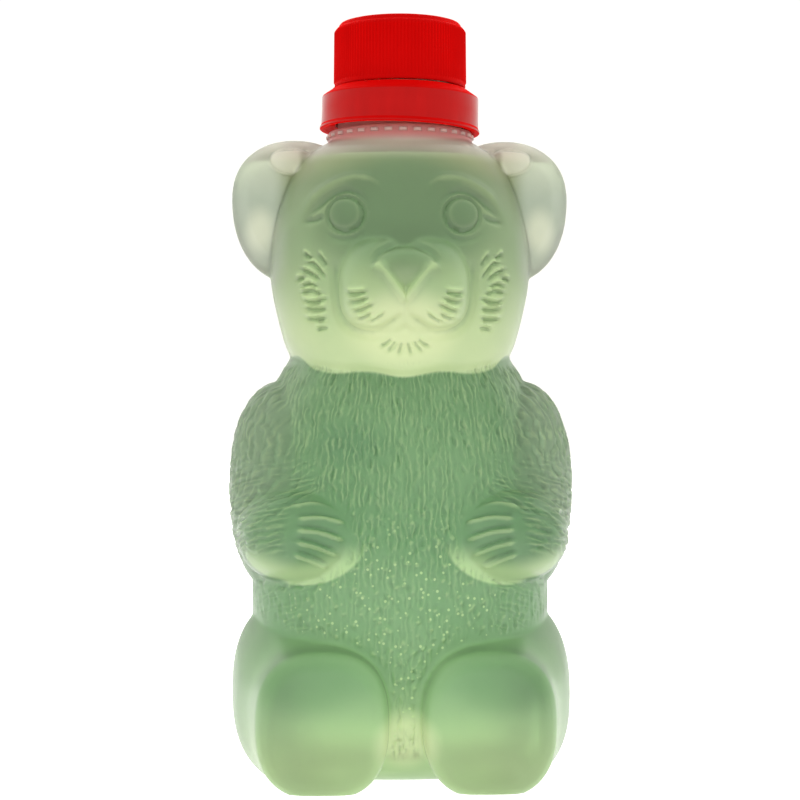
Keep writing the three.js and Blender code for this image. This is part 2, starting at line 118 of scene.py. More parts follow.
# %% Cross-sections
CHIN_Z = 92.8
HEAD_HEIGHT = 57.0
CROWN_Z = CHIN_Z + HEAD_HEIGHT
LEG_LENGTH = 47.0
FLAT_DEPTH = 1.4
WALL = 1.1
COLLAR_RADIUS = 17.2

# place along the form, half width, reach to the front, reach to the back
TORSO = np.array([
    (0.0, 31.5, 25.5, 28.0), (19.0, 34.4, 29.4, 30.4), (41.0, 35.2, 31.0, 30.9), (61.0, 34.8, 30.4, 30.8),
    (79.0, 32.8, 28.0, 29.4), (90.0, 30.6, 25.0, 26.5), (97.3, 26.4, 21.5, 23.2), (109.3, 18.0, 16.0, 17.0),
])
HEAD = np.array([
    (0.0, 25.0, 25.5, 21.0), (4.5, 26.3, 26.6, 22.6), (14.0, 29.0, 27.4, 25.2), (24.0, 30.8, 27.0, 26.5),
    (35.0, 30.0, 26.0, 26.0), (46.0, 26.8, 22.8, 23.2), (57.0, 20.6, 18.8, 18.8),
])
# place along the leg, half width, top, sideways middle
LEG = np.array([
    (0.0, 17.0, 39.5, 20.6), (13.0, 18.4, 41.8, 21.4), (24.0, 17.8, 37.0, 21.0), (34.0, 16.0, 33.0, 19.6),
    (47.0, 14.6, 31.4, 18.5),
])


def smooth(table, column, place):
    """A cubic curve through one column of a table of sections."""
    at, values = table[:, 0], table[:, column]
    slopes = np.gradient(values, at)
    place = np.clip(place, at[0], at[-1])
    k = np.clip(np.searchsorted(at, place) - 1, 0, len(at) - 2)
    h = at[k + 1] - at[k]
    t = (place - at[k]) / h
    return (values[k] * (1 + 2 * t) * (1 - t) ** 2 + values[k + 1] * t**2 * (3 - 2 * t)
            + h * (slopes[k] * t * (1 - t) ** 2 - slopes[k + 1] * t**2 * (1 - t)))


def bulge(value, power):
    return np.sign(value) * np.abs(value) ** (2 / power)


# %% Rolled and stretched forms
def rolled(name, place, around=96, along=72):
    """A flat grid rolled into a closed form: place(turn, run) gives the points, with run from 0 to 1."""
    bpy.ops.mesh.primitive_grid_add(x_subdivisions=around, y_subdivisions=along, size=2)
    form = bpy.context.object
    form.name = name
    sheet = get_points(form) * MM
    set_points(form, place((sheet[:, 0] + 1) * math.pi, (sheet[:, 1] + 1) / 2))
    return clean(form)


def loft(turn, run, length, section, power, start_round, end_round, end_dish=0.0):
    """Points of a form through sections, with both ends rounded off and closed, the last one dished."""
    fillet_share = 0.12
    end = np.minimum(run, 1 - run)
    disc = np.clip(end / (fillet_share / 2), 0, 1)
    bend = np.clip((end - fillet_share / 2) / (fillet_share / 2), 0, 1) * math.pi / 2
    radius = np.where(run < 0.5, start_round, end_round)
    depth = radius * (1 - np.cos(bend))
    middle = np.clip((run - fillet_share) / (1 - 2 * fillet_share), 0, 1)
    inner = start_round + middle * (length - start_round - end_round)
    place = np.where(end < fillet_share, np.where(run < 0.5, depth, length - depth), inner)
    drawn = np.where(end < fillet_share, radius * (1 - np.sin(bend)), 0)
    middle_x, half, front, back = section(place)
    across, ahead = bulge(np.sin(turn), power), bulge(np.cos(turn), power)
    reach = np.where(ahead > 0, front, back)
    place = place - np.where(run > 0.5, end_dish * (1 - disc**2), 0)
    return (middle_x + (half - drawn) * across * disc, -(reach - drawn) * ahead * disc, place)


def upright(name, table, z, power, start_round, end_round):
    def place(turn, run):
        section = lambda s: (0, *(smooth(table, column, s) for column in (1, 2, 3)))
        x, y, s = loft(turn, run, table[-1, 0], section, power, start_round, end_round)
        return np.stack([x, y + AXIS_Y, s + z], 1)
    return rolled(name, place)


def leg(side):
    def place(turn, run):
        middle = lambda s: (smooth(LEG, 2, s) - FLAT_DEPTH) / 2
        section = lambda s: (side * smooth(LEG, 3, s), smooth(LEG, 1, s), middle(s) + FLAT_DEPTH,
                             smooth(LEG, 2, s) - middle(s))
        x, up, s = loft(turn, run, LEG_LENGTH, section, 2.5, 7.0, 3.6, end_dish=1.0)
        return np.stack([x, AXIS_Y + 8 - s, up + middle(s)], 1)
    return rolled("leg", place, 72, 64)


def lump(name, at, half_width, half_depth, rise, drop=None, power=2.0):
    bpy.ops.mesh.primitive_uv_sphere_add(segments=96, ring_count=64, radius=1)
    form = bpy.context.object
    form.name = name
    x, y, z = (get_points(form) * MM).T
    x = np.where(np.hypot(x, z) < 1e-6, 1e-6, x)
    r = np.hypot(x, z)
    square = ((np.abs(x) / r) ** power + (np.abs(z) / r) ** power) ** (-1 / power)
    height = np.where(z > 0, rise, rise if drop is None else drop)
    set_points(form, np.stack([x * square * half_width, y * half_depth, z * square * height], 1) + at)
    return form


def ear(side):
    """A lobe, fuller below than above, its front dished inside a round rim."""
    at = np.array([side * 25.2, 5.0, 135.8])
    form = lump("ear", at, 15.0, 6.4, 14.2, 20.0, power=2.2)
    x, y, z = (get_points(form) - at).T
    reach = np.hypot(x / 11.2, z / np.where(z > 0, 10.4, 16.2))
    y = np.where(y < 0, y + 3.0 * np.clip(1 - reach**2, 0, 1), y)
    set_points(form, np.stack([x, y, z], 1) + at)
    return form


# %% Fuse the forms into one skin
VOXEL = 0.45
CHIN_WAVE, CHIN_WAVES = 0.5, 0.38  # the neckline's waves: their height, and radians a millimetre
CHIN_RISE = 2.0 / 24**2  # how the neckline climbs from the chin to the sides
torso = upright("torso", TORSO, 0.0, 2.3, 7.0, 7.0)
head = upright("head", HEAD, CHIN_Z, 2.2, 4.0, 7.0)
x, y, z = get_points(head).T
z = z + (CHIN_RISE * x**2 - CHIN_WAVE * np.cos(CHIN_WAVES * x)) * np.clip(1 - (z - CHIN_Z) / 8, 0, 1)
set_points(head, np.stack([x, y, z], 1))
forms = [torso, head]
for side in (-1, 1):
    forms += [
        leg(side),
        lump("jowl", (side * 5.5, -17.9, 111.8), 10.0, 12.0, 13.5, 10.6, power=2.3),
        ear(side),
        lump("ear_fold", (side * 26.2, 0.6, 144.4), 5.4, 2.8, 3.5),
        lump("upper_arm", (side * 27.3, -2.0, 67.0), 13.2, 15.5, 25.2, power=2.3),
        lump("elbow", (side * 27.5, -11.0, 56.6), 11.0, 17.0, 11.0),
        lump("paw", (side * 23.2, -17.7, 56.6), 14.0, 11.5, 10.6),
    ]
forms.append(lump("nose", (0.0, -25.5, 117.4), 6.8, 4.0, 4.6))
bpy.ops.mesh.primitive_cylinder_add(vertices=128, radius=COLLAR_RADIUS * MM, depth=14 * MM,
                                    location=(0, AXIS_Y * MM, (CROWN_Z - 4) * MM))
collar_root = bpy.context.object
bpy.ops.object.transform_apply(location=True, rotation=True, scale=True)
forms.append(collar_root)
skin = join("bear_bottle", forms)
modify(skin, "REMESH", mode="VOXEL", voxel_size=VOXEL * MM)
modify(skin, "SMOOTH", factor=0.5, iterations=8)
print("skin:", len(skin.data.vertices), "points")

# %% [markdown]
# ### The base
# The bottle stands on a flat ring: the feet and the torso are cut level, and the middle of the base is pushed
# up so that it can't rock. Points below the table are lifted to it, and those inside the oval follow a
# shallow dome.

# %% Level the base and push its middle up
PUSH_UP_WIDTH, PUSH_UP_DEPTH, PUSH_UP_RISE = 15, 13, 2.4  # the oval's two half axes, and the dome's height


def level(points, raised):
    x, y, z = points.T
    oval = np.clip(1 - (x / PUSH_UP_WIDTH) ** 2 - ((y - AXIS_Y) / PUSH_UP_DEPTH) ** 2, 0, 1)
    return np.stack([x, y, np.maximum(np.maximum(z, raised), PUSH_UP_RISE * np.sqrt(oval) + raised)], 1)


set_points(skin, level(get_points(skin), 0.0))
print("points on the table:", int((get_points(skin)[:, 2] < 0.001).sum()))

# %% [markdown]
# ### The inside of the wall
# The plastic is about a millimetre thick. A lighter copy of the smooth skin, drawn in along its normals, is
# the inside of the wall. The drink fills that space, so a second copy becomes the drink. Both are taken now,
# before the fur is cut, because a blown wall hides the mould's fine marks on its inside.

# %% Copies for the inner wall and the drink
def copy_of(obj, name):
    only(obj)
    bpy.ops.object.duplicate()
    twin = bpy.context.object
    twin.name = name
    return twin


LINING_SHARE = 0.036  # of the skin's faces
lining = modify(copy_of(skin, "lining"), "DECIMATE", ratio=LINING_SHARE)
set_points(lining, level(get_points(lining) - WALL * get_normals(lining), WALL))
modify(lining, "SMOOTH", factor=0.5, iterations=2)
drink = copy_of(lining, "drink")
print("lining:", len(lining.data.polygons), "faces")

# %% [markdown]
# ## Drawing a relief
# The mould has fur, whiskers, claws and a face cut into it. By hand one would sculpt these with a crease
# brush. In code the same is done with a sheet of drawing paper: each stroke is drawn into an array of
# heights, once, with a soft edge and fading ends, and the mesh's points then read their height from the
# sheet.

# %% A sheet to draw on
class Sheet:
    """Heights in millimetres over a plane: u to the right, v upwards."""

    step = 0.15

    def __init__(self, u_low, u_high, v_low, v_high):
        self.low = np.array([u_low, v_low])
        shape = (int((v_high - v_low) / self.step) + 2, int((u_high - u_low) / self.step) + 2)
        self.cut = np.zeros(shape)
        self.rise = np.zeros(shape)

    def draw(self, path, width, height, fade=0.25):
        """A stroke along a path of (u, v) points, cut in where its height is negative."""
        path = np.asarray(path, float)
        layer = self.rise if height > 0 else self.cut
        lengths = np.hypot(*np.diff(path, axis=0).T)
        done, total = 0.0, lengths.sum()
        for start, end, length in zip(path[:-1], path[1:], lengths):
            first = np.floor((np.minimum(start, end) - 1.5 * width - self.low) / self.step).astype(int)
            last = np.ceil((np.maximum(start, end) + 1.5 * width - self.low) / self.step).astype(int)
            (i0, j0), (i1, j1) = np.maximum(first, 0), np.minimum(last, np.array(layer.shape[::-1]) - 1)
            if i1 <= i0 or j1 <= j0:
                continue
            u = self.low[0] + self.step * np.arange(i0, i1 + 1)[None, :]
            v = self.low[1] + self.step * np.arange(j0, j1 + 1)[:, None]
            (u0, v0), (du, dv) = start, end - start
            along = np.clip(((u - u0) * du + (v - v0) * dv) / length**2, 0, 1)
            gap = np.hypot(u - u0 - along * du, v - v0 - along * dv)
            share = (done + along * length) / total
            ends = np.clip(np.minimum(share, 1 - share) / max(fade, 1e-6), 0.15, 1) if fade else 1.0
            mark = abs(height) * ends * np.exp(-((gap / (0.55 * width)) ** 2))
            window = layer[j0 : j1 + 1, i0 : i1 + 1]
            np.maximum(window, mark, out=window)
            done += length

    def read(self, u, v):
        place = (np.stack([u, v], 1) - self.low) / self.step
        heights = self.rise - self.cut
        limit = np.array(heights.shape[::-1]) - 2
        corner = np.clip(np.floor(place).astype(int), 0, limit)
        s, t = np.clip(place - corner, 0, 1).T
        i, j = corner.T
        return ((1 - t) * ((1 - s) * heights[j, i] + s * heights[j, i + 1])
                + t * ((1 - s) * heights[j + 1, i] + s * heights[j + 1, i + 1]))


def curve(points, count=14):
    """A smooth path through a few points."""
    table = np.column_stack([np.arange(len(points)), np.asarray(points, float)])
    places = np.linspace(0, len(points) - 1, count)
    return np.stack([smooth(table, 1, places), smooth(table, 2, places)], 1)


# %% [markdown]
# ### The face
# On the real bottle the face is shallow lines in the mould: ringed eyes under a brow, the arch and the V of
# the nose, the edge of the muzzle, whiskers, wavy hair on the cheeks, a tuft on the chin, a fold in each ear
# and the claws. They could be sculpted freely, but lines listed as a few points each are easier to correct.
# One half is listed, on a sheet seen from the front, and is then drawn twice, mirrored.

# %% List the lines of the face

EYE = (13.4, 130.0)
EYE_RADIUS = 4.1
RING = [(EYE[0] + EYE_RADIUS * math.cos(a), EYE[1] + EYE_RADIUS * math.sin(a))
        for a in np.linspace(0, 2 * math.pi, 33)]
BROW = [(4.6, 134.6), (6.5, 137.4), (10.1, 138.5), (14.0, 138.0), (18.1, 136.0), (21.2, 133.2), (23.4, 129.2)]
LID = [(8.0, 131.6), (9.6, 134.2), (12.6, 135.6), (16.0, 134.8), (19.4, 132.2), (23.0, 129.2)]
CORNER = [(18.2, 129.9), (20.6, 129.0), (23.2, 128.7)]
UNDER_EYE = [(8.6, 126.4), (11.6, 124.3), (15.4, 124.3), (18.6, 126.2)]
NOSE_ARCH = [(7.6, 116.2), (7.3, 118.4), (5.6, 121.0), (2.4, 122.6), (0.0, 122.9)]
NOSE_V = [(6.6, 117.4), (5.2, 116.4), (3.6, 114.4), (1.8, 112.0), (0.0, 109.8)]
MUZZLE_EDGE = [(15.4, 120.2), (16.0, 116.5), (15.6, 111.5), (14.9, 107.2), (12.8, 104.2), (9.4, 102.8),
               (5.8, 102.9), (2.6, 104.6), (0.0, 107.0)]
WHISKERS = [
    [(13.4, 112.1), (12.2, 111.3), (10.6, 111.2), (8.4, 111.7)],
    [(13.2, 109.9), (11.8, 109.4), (10.1, 109.7), (8.2, 110.3)],
    [(12.4, 107.2), (10.3, 107.5), (8.0, 108.5), (7.0, 109.0)],
    [(11.2, 105.4), (9.2, 105.9), (7.8, 106.9)],
    [(8.5, 104.5), (6.4, 105.6), (4.8, 107.1)],
]
CHEEK = [
    [(22.9, 121.4), (22.0, 120.6), (21.1, 119.8)],
    [(19.6, 121.1), (18.5, 119.6), (17.7, 118.0)],
    [(22.9, 118.7), (20.8, 118.8), (19.0, 116.9), (17.6, 114.7)],
    [(23.9, 117.9), (21.7, 116.8), (20.1, 115.7), (19.1, 114.4)],
    [(24.5, 115.2), (23.8, 115.5), (23.0, 115.6)],
    [(24.1, 113.4), (21.9, 114.1), (20.6, 113.7), (19.4, 113.2)],
    [(24.4, 112.7), (23.2, 112.3), (21.2, 112.6), (19.6, 111.9), (18.2, 111.9)],
    [(23.6, 111.3), (22.2, 110.1), (20.4, 109.9), (18.9, 110.4), (17.1, 110.7)],
    [(23.3, 109.2), (21.7, 108.4), (19.6, 108.2), (17.3, 108.6)],
    [(22.9, 106.6), (21.3, 106.1), (19.3, 106.1), (17.4, 106.4)],
    [(20.3, 103.5), (18.9, 104.0), (17.4, 104.0)],
]
EAR_POCKET = [(21.5, 147.6), (26.9, 147.4), (30.6, 146.8), (31.5, 145.1), (30.9, 143.3), (29.3, 141.8),
              (27.5, 141.1), (25.0, 141.1)]
TUFT = [
    [(2.6, 101.8), (4.0, 100.6), (6.0, 99.6)],
    [(1.8, 101.4), (2.8, 99.9), (4.2, 98.4)],
    [(0.7, 101.0), (1.0, 99.4), (1.6, 97.8)],
]
CLAWS = [
    [(26.0, 63.2), (20.0, 64.2), (14.2, 63.4)],
    [(24.6, 60.8), (19.0, 61.0), (13.4, 59.6)],
    [(24.8, 58.4), (19.2, 57.8), (13.6, 55.8)],
    [(24.8, 55.8), (20.0, 54.6), (15.0, 52.4)],
    [(25.2, 53.0), (21.0, 51.4), (17.2, 49.4)],
]
print("lines on each cheek:", len(CHEEK), "- claws on each paw:", len(CLAWS))

# %% [markdown]
# Each line has a width, a height that is negative where it is cut in, and a share of its length over which
# its ends fade. Whiskers, cheek hairs and claws are pairs: a groove and a ridge side by side catch the light
# better than either alone, so each is drawn a second time a little higher up.

# %% Draw the face and the claws
LINES = [  # path, width, height, fade
    (BROW, 2.4, 0.8, 0.25), (LID, 1.1, -0.7, 0.25), (CORNER, 1.2, -0.8, 0.25), (UNDER_EYE, 1.3, -0.4, 0.25),
    (NOSE_ARCH, 1.5, -0.8, 0.25), (NOSE_V, 1.7, 1.1, 0.06), (NOSE_V[:2], 2.6, 1.0, 0.1),
    (MUZZLE_EDGE, 1.9, -0.9, 0.1), (EAR_POCKET, 0.9, -0.55, 0.08),
    *((hair, 1.0, -0.8, 0.25) for hair in TUFT),
]
PAIRS = [  # paths, one line's width, height and fade, the step up to the other line, and its values
    (WHISKERS, (1.0, -0.8, 0.25), 0.9, (1.0, 0.7, 0.25)),
    (CHEEK, (0.95, -0.85, 0.25), 0.85, (0.9, 0.6, 0.25)),
    (CLAWS, (1.1, 0.8, 0.15), 0.95, (1.0, -0.55, 0.2)),
]
RING_WIDTH, RING_HEIGHT = 0.95, -0.55
front = Sheet(-45, 45, 0, 180)


def draw_line(half, path, width, height, fade, up=0.0):
    front.draw(curve([(half * u, v + up) for u, v in path]), width, height, fade)


for half in (-1, 1):
    front.draw([(half * u, v) for u, v in RING], RING_WIDTH, RING_HEIGHT, fade=0)
    for line in LINES:
        draw_line(half, *line)
    for paths, first, up, second in PAIRS:
        for path in paths:
            draw_line(half, path, *first)
            draw_line(half, path, *second, up)
print("face lines drawn on", front.cut.shape)

# %% [markdown]
# ### The fur
# Torso and arms carry short wavy grooves. They are drawn on a second sheet, wrapped round the bear: u is the
# angle about the axis times a mean radius, v is the height. A seeded random generator places one stroke in
# each cell of a staggered grid, and a small function says how the hair lies: upright on the belly and back,
# fanning outwards, and swept forwards along the arms to the paws. On the lower belly the hair is shorter,
# with small raised grains in it.

# %% How the hair lies
WRAP_RADIUS = 32.0
WRAP_HALF = math.pi * WRAP_RADIUS
ARM_TURN = 0.62, 1.95  # where the arms lie: radians from the front, and heights
ARM_RISE = 44, 92
BELLY_TURN, BELLY_TOP, FOREARM_TOP = 0.6, 52, 70


def on_arm(u, v):
    turn = abs(u) / WRAP_RADIUS
    return ARM_TURN[0] < turn < ARM_TURN[1] and ARM_RISE[0] < v < ARM_RISE[1]


def hair_lie(u, v):
    """How far the hair leans from upright, in radians, towards larger u."""
    side = math.copysign(1, u)
    if on_arm(u, v):
        sweep = min(max((80 - v) / 22, 0.0), 1.0)
        return side * (0.35 - 1.55 * sweep)
    return 0.005 * u * (1 - abs(u) / WRAP_HALF)


print("lean of the hair at an elbow:", round(math.degrees(hair_lie(35, 55))), "degrees")

# %% Draw the fur
CELL = (1.75, 4.2)
FUR_TOP = 108
JITTER, LEAN_JITTER = 0.3, 0.16
BEND = ((-0.5, 0.0), (-0.2, 1.0), (0.15, -0.8), (0.5, 0.2))  # shares of a hair's length, and of its wave
GROOVE_WIDTH, GROOVE_CUT = 0.9, -0.44
RIDGE_WIDTH, RIDGE_RISE, RIDGE_ASIDE = 0.8, 0.22, 0.8
wrap = Sheet(-WRAP_HALF, WRAP_HALF, 0, 110)
random = np.random.default_rng(11)
strokes = 0
for row in range(int(FUR_TOP / CELL[1])):
    for column in range(int(2 * WRAP_HALF / CELL[0])):
        u = -WRAP_HALF + (column + 0.5 + random.uniform(-JITTER, JITTER)) * CELL[0]
        v = (row + 0.5 * (column % 2) + random.uniform(-JITTER, JITTER)) * CELL[1] + 2
        length, wave = random.uniform(2.6, 5.4), random.uniform(-0.5, 0.5)
        strong = random.uniform(0.6, 1.0)
        if v < BELLY_TOP and abs(u) < BELLY_TURN * WRAP_RADIUS:
            length, strong = 0.6 * length, 0.75 * strong
        if on_arm(u, v) and v < FOREARM_TOP:
            length, wave, strong = 1.5 * length, 1.4 * wave, 1.2 * strong
        lean = hair_lie(u, v) + random.uniform(-LEAN_JITTER, LEAN_JITTER)
        along = np.array([math.sin(lean), math.cos(lean)])
        aside = np.array([along[1], -along[0]])
        hair = curve([np.array([u, v]) + along * length * t + aside * wave * w for t, w in BEND], 7)
        wrap.draw(hair, GROOVE_WIDTH, GROOVE_CUT * strong)
        wrap.draw(hair + RIDGE_ASIDE * aside, RIDGE_WIDTH, RIDGE_RISE * strong)
        strokes += 1
print("fur strokes:", strokes)

# %% Add the grains, and short hairs between the feet
GRAINS, GRAIN_WIDTH, GRAIN_REACH = 420, 0.75, 34
for grain in range(GRAINS):
    u, v = random.normal(0, 15), random.uniform(8, 62)
    if abs(u) < GRAIN_REACH:
        top = (u + 0.3, v + random.uniform(0.1, 0.5))
        wrap.draw([(u, v), top], GRAIN_WIDTH, random.uniform(0.3, 0.55), fade=0)
for u in np.arange(-5.0, 5.5, 1.1):
    v = 6.0 + random.uniform(-0.8, 0.8)
    wrap.draw([(u, v), (u + random.uniform(-0.6, 0.9), v + random.uniform(2.0, 3.4))], GROOVE_WIDTH, -0.5)
print("fur sheet:", wrap.cut.shape)

# %% [markdown]
# ### Cutting the drawings into the skin
# Each point of the skin reads both sheets and moves along its normal by the height found there. The face only
# acts on points that look forwards. The fur stays below the neckline, off the smooth legs and off the claws,
# and is weaker under the elbows. A fine raised line where the two halves of the mould met runs up the sides,
# and the closed seam of the blown tube crosses the base. Two values are also kept on every point, for the
# finish to read later: "relief", how far it stands above its surroundings, and "fur", how furry it is.

# %% Helpers for carving
def rising(value, start, over):
    return np.clip((value - start) / over, 0, 1)


def falling(value, start, over):
    return np.clip((start - value) / over, 0, 1)


def local_mean(obj, values, rounds):
    """Each point's value, averaged with its neighbours' over and over."""
    ends = np.empty(2 * len(obj.data.edges), np.int32)
    obj.data.edges.foreach_get("vertices", ends)
    a, b = ends.reshape(-1, 2).T
    count = len(values)
    shared = np.bincount(a, minlength=count) + np.bincount(b, minlength=count) + 1
    for _ in range(rounds):
        total = np.bincount(a, values[b], count) + np.bincount(b, values[a], count) + values
        values = total / shared
    return values


# %% Where the face and the fur act
x, y, z = get_points(skin).T
nx, ny, nz = get_normals(skin).T
width = np.abs(x)
forwards = rising(-ny, 0.2, 0.3) * np.where(z < 90, falling(y, -24.5, 1.2), 1)
furred = falling(z, 96.5, 1.5) * rising(nz, -0.55, 0.3) * rising(z, 4, 4)
leg_half, leg_top, leg_x = (smooth(LEG, column, AXIS_Y + 8 - y) for column in (1, 2, 3))
leg_z = (leg_top - FLAT_DEPTH) / 2
off_leg = np.abs((width - leg_x) / leg_half) ** 2.5 + np.abs((z - leg_z) / (leg_top - leg_z)) ** 2.5
furred *= np.where(y < 10, rising(off_leg, 1.1, 0.2), 1)
furred *= 1 - 0.5 * rising(width, 24, 6) * falling(z, 47, 2) * falling(y, 12, 1)
claw_oval = np.hypot((width - 19.5) / 8.5, (z - 57) / 9.5)
furred *= np.where(y < -20, rising(claw_oval, 0.8, 0.25), 1)
print("furry points:", int((furred > 0.5).sum()), "of", len(furred))

# %% Carve the skin
EYE_DOME, SEAM_RISE, BASE_SEAM_RISE, BASE_SEAM_REACH = 0.9, 0.16, 0.35, 24
wrap_u = WRAP_RADIUS * np.arctan2(x, AXIS_Y - y)
height = forwards * front.read(x, z) + furred * wrap.read(wrap_u, z)
fine = height - local_mean(skin, height, 14)
domes = np.hypot(width - EYE[0], z - EYE[1]) / (0.95 * EYE_RADIUS)
height += forwards * EYE_DOME * np.sqrt(np.clip(1 - domes**2, 0, 1))
seam = np.exp(-(((y - AXIS_Y) / 0.45) ** 2)) * rising(np.abs(nx), 0.3, 0.3)
height += SEAM_RISE * seam * rising(z, 3, 3) * falling(z, 148, 3)
points = np.stack([x, y, z], 1) + height[:, None] * np.stack([nx, ny, nz], 1)
points[:, 2] = np.maximum(points[:, 2], 0)
under = (nz < -0.7) & (z < 4) & (width < BASE_SEAM_REACH)
base_seam = BASE_SEAM_RISE * np.exp(-(((y - AXIS_Y) / 0.7) ** 2)) * falling(width, BASE_SEAM_REACH, 3)
points[:, 2] += np.where(under, base_seam, 0)
set_points(skin, points)
for name, values in (("relief", fine), ("fur", furred)):
    mark = skin.data.attributes.new(name, "FLOAT", "POINT")
    mark.data.foreach_set("value", values.astype(np.float32))
print("carved", int((np.abs(height) > 0.05).sum()), "of", len(height), "points")

# %% [markdown]
# ## The neck
# Above the crown the bottle is round: a collar with a ring of short dashes, a waist with the bead that holds
# the tamper band, and the threaded mouth. A round form is spun: its outline is drawn once by extruding a
# point, then turned about the axis. The outline goes up the outside, over the lip and down the inside.

# %% Spin an outline
def spun(name, outline, steps):
    """Spins an outline of (radius, height) points about the neck's axis."""
    bpy.ops.object.select_all(action="DESELECT")
    bpy.ops.mesh.primitive_plane_add(size=1 * MM)
    turned = bpy.context.object
    turned.name = name
    bpy.ops.object.mode_set(mode="EDIT")
    bpy.ops.mesh.select_all(action="SELECT")
    bpy.ops.mesh.merge(type="CENTER")
    at = np.zeros(2)
    for radius, z in outline:
        step = (np.array([radius, z]) - at) * MM
        if not at.any():
            bpy.ops.transform.translate(value=(step[0], 0, step[1]))
        else:
            bpy.ops.mesh.extrude_region_move(TRANSFORM_OT_translate={"value": (step[0], 0, step[1])})
        at = np.array([radius, z])
    bpy.ops.mesh.select_all(action="SELECT")
    bpy.ops.mesh.spin(steps=steps, angle=2 * math.pi, center=(0, 0, 0), axis=(0, 0, 1))
    bpy.ops.object.mode_set(mode="OBJECT")
    clean(turned)
    set_points(turned, get_points(turned) + (0, AXIS_Y, 0))
    return turned


def around(points):
    """Angle and radius of points about the neck's axis."""
    x, y = points[:, 0], points[:, 1] - AXIS_Y
    return np.arctan2(y, x), np.hypot(x, y)


def push_out(points, by):
    angle, _ = around(points)
    return points + np.stack([np.cos(angle) * by, np.sin(angle) * by, 0 * by], 1)


def rib_wave(angle, count):
    return 0.5 + 0.5 * np.cos(count * angle)


# %% Spin the neck
SKIN_CUT = 149.6
LINING_CUT = 148.6
DRINK_LEVEL = 144.6
MOUTH_Z = 174.2
DASHES = 32
DASH_LOW, DASH_HIGH, DASH_RISE = 150.1, 150.9, 0.5
neck = spun("neck", [
    *((COLLAR_RADIUS, z) for z in (149.9, 150.05, 150.2, 150.8, 150.95, 151.35)),
    (17.05, 151.6), (16.8, 151.7), (15.3, 151.7), (15.0, 151.85), (14.9, 152.2), (14.9, 155.6),
    (15.05, 155.85), (16.05, 156.05), (16.3, 156.35), (16.3, 156.85), (16.05, 157.15), (15.0, 157.4),
    (14.75, 157.65), (13.0, 159.7), (12.8, 160.1), (12.8, 173.4), (12.65, 173.9), (12.2, MOUTH_Z),
    (11.3, MOUTH_Z), (10.95, 174.0), (10.8, 173.6), (10.8, 158.7), (11.0, 158.2), (13.1, 156.0),
    (13.3, 155.6), (13.3, 150.6), (13.45, 150.25), (13.8, 150.1), (15.2, 150.1), (15.5, 149.95),
    (15.6, 149.6), (15.6, 149.0),
], 192)
points = get_points(neck)
angle, radius = around(points)
on_dash = (radius > COLLAR_RADIUS - 0.1) & (points[:, 2] > DASH_LOW) & (points[:, 2] < DASH_HIGH)
set_points(neck, push_out(points, np.where(on_dash, DASH_RISE * (rib_wave(angle, DASHES) > 0.4), 0)))
print("neck:", len(neck.data.polygons), "faces,", DASHES, "dashes")

# %% [markdown]
# ### The thread
# A thread is a ridge wound up the wall. The rolling helper makes it too: round the ridge's section in one
# direction, along the helix in the other, with both ends run out to nothing so that the cap can start on it.

# %% Wind the threads
THREAD_PITCH = 4.0
THREAD_TURNS, CAP_THREAD_TURNS = 1.75, 1.5
THREAD_START = MOUTH_Z - 3.4 - THREAD_TURNS * THREAD_PITCH
ROOT = 0.4  # how deep a thread's root sits in the wall


def thread(name, radius, outward, depth, start, turns):
    def place(turn, run):
        angle = run * turns * 2 * math.pi
        run_out = np.sqrt(np.clip(np.minimum(run, 1 - run) * turns * 9, 0, 1))
        ridge = np.where(np.cos(turn) > 0, depth, ROOT) * np.cos(turn)
        r = radius + outward * (ridge * run_out - ROOT * (1 - run_out))
        z = start + THREAD_PITCH * turns * run - 0.9 * bulge(np.sin(turn), 2.6) * run_out
        return np.stack([r * np.cos(angle), AXIS_Y + r * np.sin(angle), z], 1)
    return rolled(name, place, 16, int(64 * turns))


neck_thread = thread("neck_thread", 12.8, 1, 1.1, THREAD_START, THREAD_TURNS)
print("neck thread:", THREAD_TURNS, "turns from", THREAD_START, "mm up")

# %% [markdown]
# ### Joining skin, neck and lining
# Skin and lining are cut level under the neck, which leaves each with an open rim. The three meshes are
# joined, and the open rims are bridged in pairs: skin to the outside of the neck, lining to its inside. The
# result is one closed wall with a real thickness, open only at the mouth.

# %% Cut the rims and bridge them
def cut_above(obj, z, within, fill=False, clear=True):
    """Cuts a mesh at a height, within a radius of the neck's axis, and clears what is above."""
    centres = np.empty(3 * len(obj.data.polygons), np.float32)
    obj.data.polygons.foreach_get("center", centres)
    _, radius = around(centres.reshape(-1, 3) / MM)
    only(obj)
    bpy.ops.object.mode_set(mode="EDIT")
    bpy.ops.mesh.select_mode(type="FACE")
    bpy.ops.mesh.select_all(action="DESELECT")
    bpy.ops.object.mode_set(mode="OBJECT")
    obj.data.polygons.foreach_set("select", radius < within)
    bpy.ops.object.mode_set(mode="EDIT")
    bpy.ops.mesh.bisect(plane_co=(0, 0, z * MM), plane_no=(0, 0, 1), clear_outer=clear, use_fill=fill,
                        threshold=1e-7)
    bpy.ops.mesh.select_mode(type="VERT")
    bpy.ops.object.mode_set(mode="OBJECT")
    return obj


